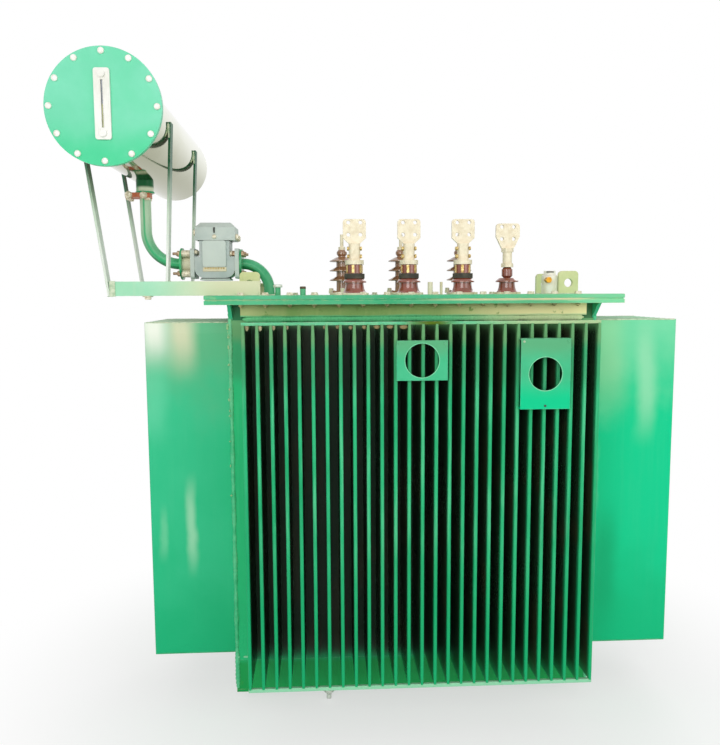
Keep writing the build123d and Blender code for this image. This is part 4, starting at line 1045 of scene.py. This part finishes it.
TANK_HALF_LENGTH = 0.66
side_beads, side_foot_beads, bar_welds = [], [], []
for wall, outer, inner in (
    (left_wall, left_wall.low[0] + FACE_INSET, -TANK_HALF_LENGTH),
    (right_wall, right_wall.high[0] - FACE_INSET, TANK_HALF_LENGTH),
):
    for side_y in SIDES:
        y, ends = side_y * (side_fin_half_span - 0.003), (outer, inner)
        top, foot = wall.high[2] - 0.009, wall.low[2] + 0.003
        side_beads.append(level_bead(ends, y, top, (0, side_y, 1), 0.0028, 0.012, outer + y))
        side_foot_beads.append(level_bead(ends, y, foot, (0, side_y, -1), 0.0028, 0.012, outer - y))
piece("side_fin_top_beads", side_beads, pale_weld_finish)
piece("side_fin_foot_beads", side_foot_beads, weld_finish)
edge_y, edge_z, edge_size = fin_bars.high[1] + 0.0006, fin_bars.low[2] + 0.0035, (fin_half_span * 2, 0.004, 0.013)
bar_edges = [block((0, side_y * edge_y, edge_z), edge_size) for side_y in SIDES]
hardware("foot_bar_edges", bar_edges, own_finishes["fin_bars"], 0.001)
end_x, end_y, end_size = beam.low[0] + 0.009, 0.001 - beam.low[1], (0.020, 0.006, beam.size[2] + 0.004)
beam_ends = [block((end_x, side_y * end_y, beam.middle[2]), end_size) for side_y in SIDES]
hardware("beam_end_plates", beam_ends, pale_weld_finish, 0.001)
bar_ends = fin_bars.low[0], fin_bars.high[0]
for side_y in SIDES:
    for z, rise in ((fin_bars.low[2] + 0.008, 1), (fin_bars.high[2] - 0.008, -1)):
        bar_welds.append(level_bead(bar_ends, side_y * (fin_tip - 0.005), z, (0, side_y, rise), 0.0026))
piece("fin_bar_welds", bar_welds, own_finishes["fin_bars"])

# Camera, floor and light

SENSOR, FOCAL_PIXELS, FRAME_HEIGHT = 36, 748.4, 745
CAMERA_PLACE = (-0.3330, -2.9159, 1.5313)


def stand(name, data, place, axes):
    """New object at a place, turned so that its own axes are the columns of axes."""
    made = added(name, data)
    made.matrix_world = Matrix.Translation(place) @ Matrix(axes.tolist()).to_4x4()
    return made


def place_camera():
    """Camera from the solved view: position, then pitch, yaw and roll, with the focal length in image heights."""
    yaw, pitch, roll = np.radians((2.964, 6.014, -0.292))
    ahead = np.array([math.sin(yaw) * math.cos(pitch), math.cos(yaw) * math.cos(pitch), -math.sin(pitch)])
    level_right = np.array([math.cos(yaw), -math.sin(yaw), 0])
    level_up = np.cross(level_right, ahead)
    right = math.cos(roll) * level_right + math.sin(roll) * level_up
    up = -math.sin(roll) * level_right + math.cos(roll) * level_up
    lens = bpy.data.cameras.new("photo_camera")
    lens.sensor_width = SENSOR
    lens.lens = SENSOR * FOCAL_PIXELS / FRAME_HEIGHT
    lens.clip_end = 100
    scene.camera = stand("photo_camera", lens, CAMERA_PLACE, np.stack([right, up, -ahead], 1))


def show(tree, output, plain, shown):
    """Feed an output: one shader for rays from the camera, mirrors and glass, plain light for the rest."""
    path = tree.add("LightPath")
    direct = tree.math("MAXIMUM", path.outputs["Is Camera Ray"], path.outputs["Is Glossy Ray"])
    seen = tree.math("MAXIMUM", direct, path.outputs["Is Transmission Ray"])
    split = tree.add("MixShader", seen, plain, shown)
    tree.feed(tree.tree.nodes[output].inputs["Surface"], split.outputs[0])


def make_world():
    """Even sky light, shown as white."""
    world = bpy.data.worlds.new("studio")
    world.use_nodes = True
    scene.world = world
    tree = Tree(world.node_tree)
    lighting = tree.fill(world.node_tree.nodes["Background"], Color=(255, 255, 255), Strength=0.5)
    white = tree.fill(tree.add("Background"), Color=(255, 255, 255))
    show(tree, "World Output", lighting.outputs[0], white.outputs[0])


def make_floor():
    """Pale floor that keeps the shadow near the tank and fades to white away from it."""
    reach = 30.0
    mesh = bpy.data.meshes.new("floor")
    spread = [(x * reach, y * reach, 0) for x, y in SQUARE]
    mesh.from_pydata(spread, [], [(0, 1, 2, 3)])
    floor = added("floor", mesh)
    t = Finish("pale_floor")
    t.set(Base_Color=(244, 244, 242), Roughness=0.9)
    place = t.add("TexCoord").outputs["Object"]
    away = t.add("VectorMath", place, operation="LENGTH").outputs["Value"]
    share = t.plus(0.6, t.times(t.between(away, 0.75, 1.9), 0.4))
    lit, white = t.shader.outputs[0], t.add("Emission").outputs[0]
    fading = t.add("MixShader", share, lit, white).outputs[0]
    show(t, "Material Output", lit, fading)
    mesh.materials.append(t.material)


def make_lamp(name, place, aim, size, power):
    """Large square lamp that faces its aim."""
    light = bpy.data.lights.new(name, "AREA")
    light.size = size
    light.energy = power
    stand(name, light, place, turn_to(np.subtract(place, aim)))


place_camera()
make_world()
make_floor()
make_lamp("key", (-1.5, -5.2, 2.9), (0, 0, 1.1), 3.0, 112)
make_lamp("fill", (3.2, -4.2, 2.4), (0, 0, 1.0), 3.0, 54)
make_lamp("rear", (2.5, 4.2, 4.6), (0, 0, 1.0), 3.0, 60)
scene.view_settings.view_transform = "Standard"
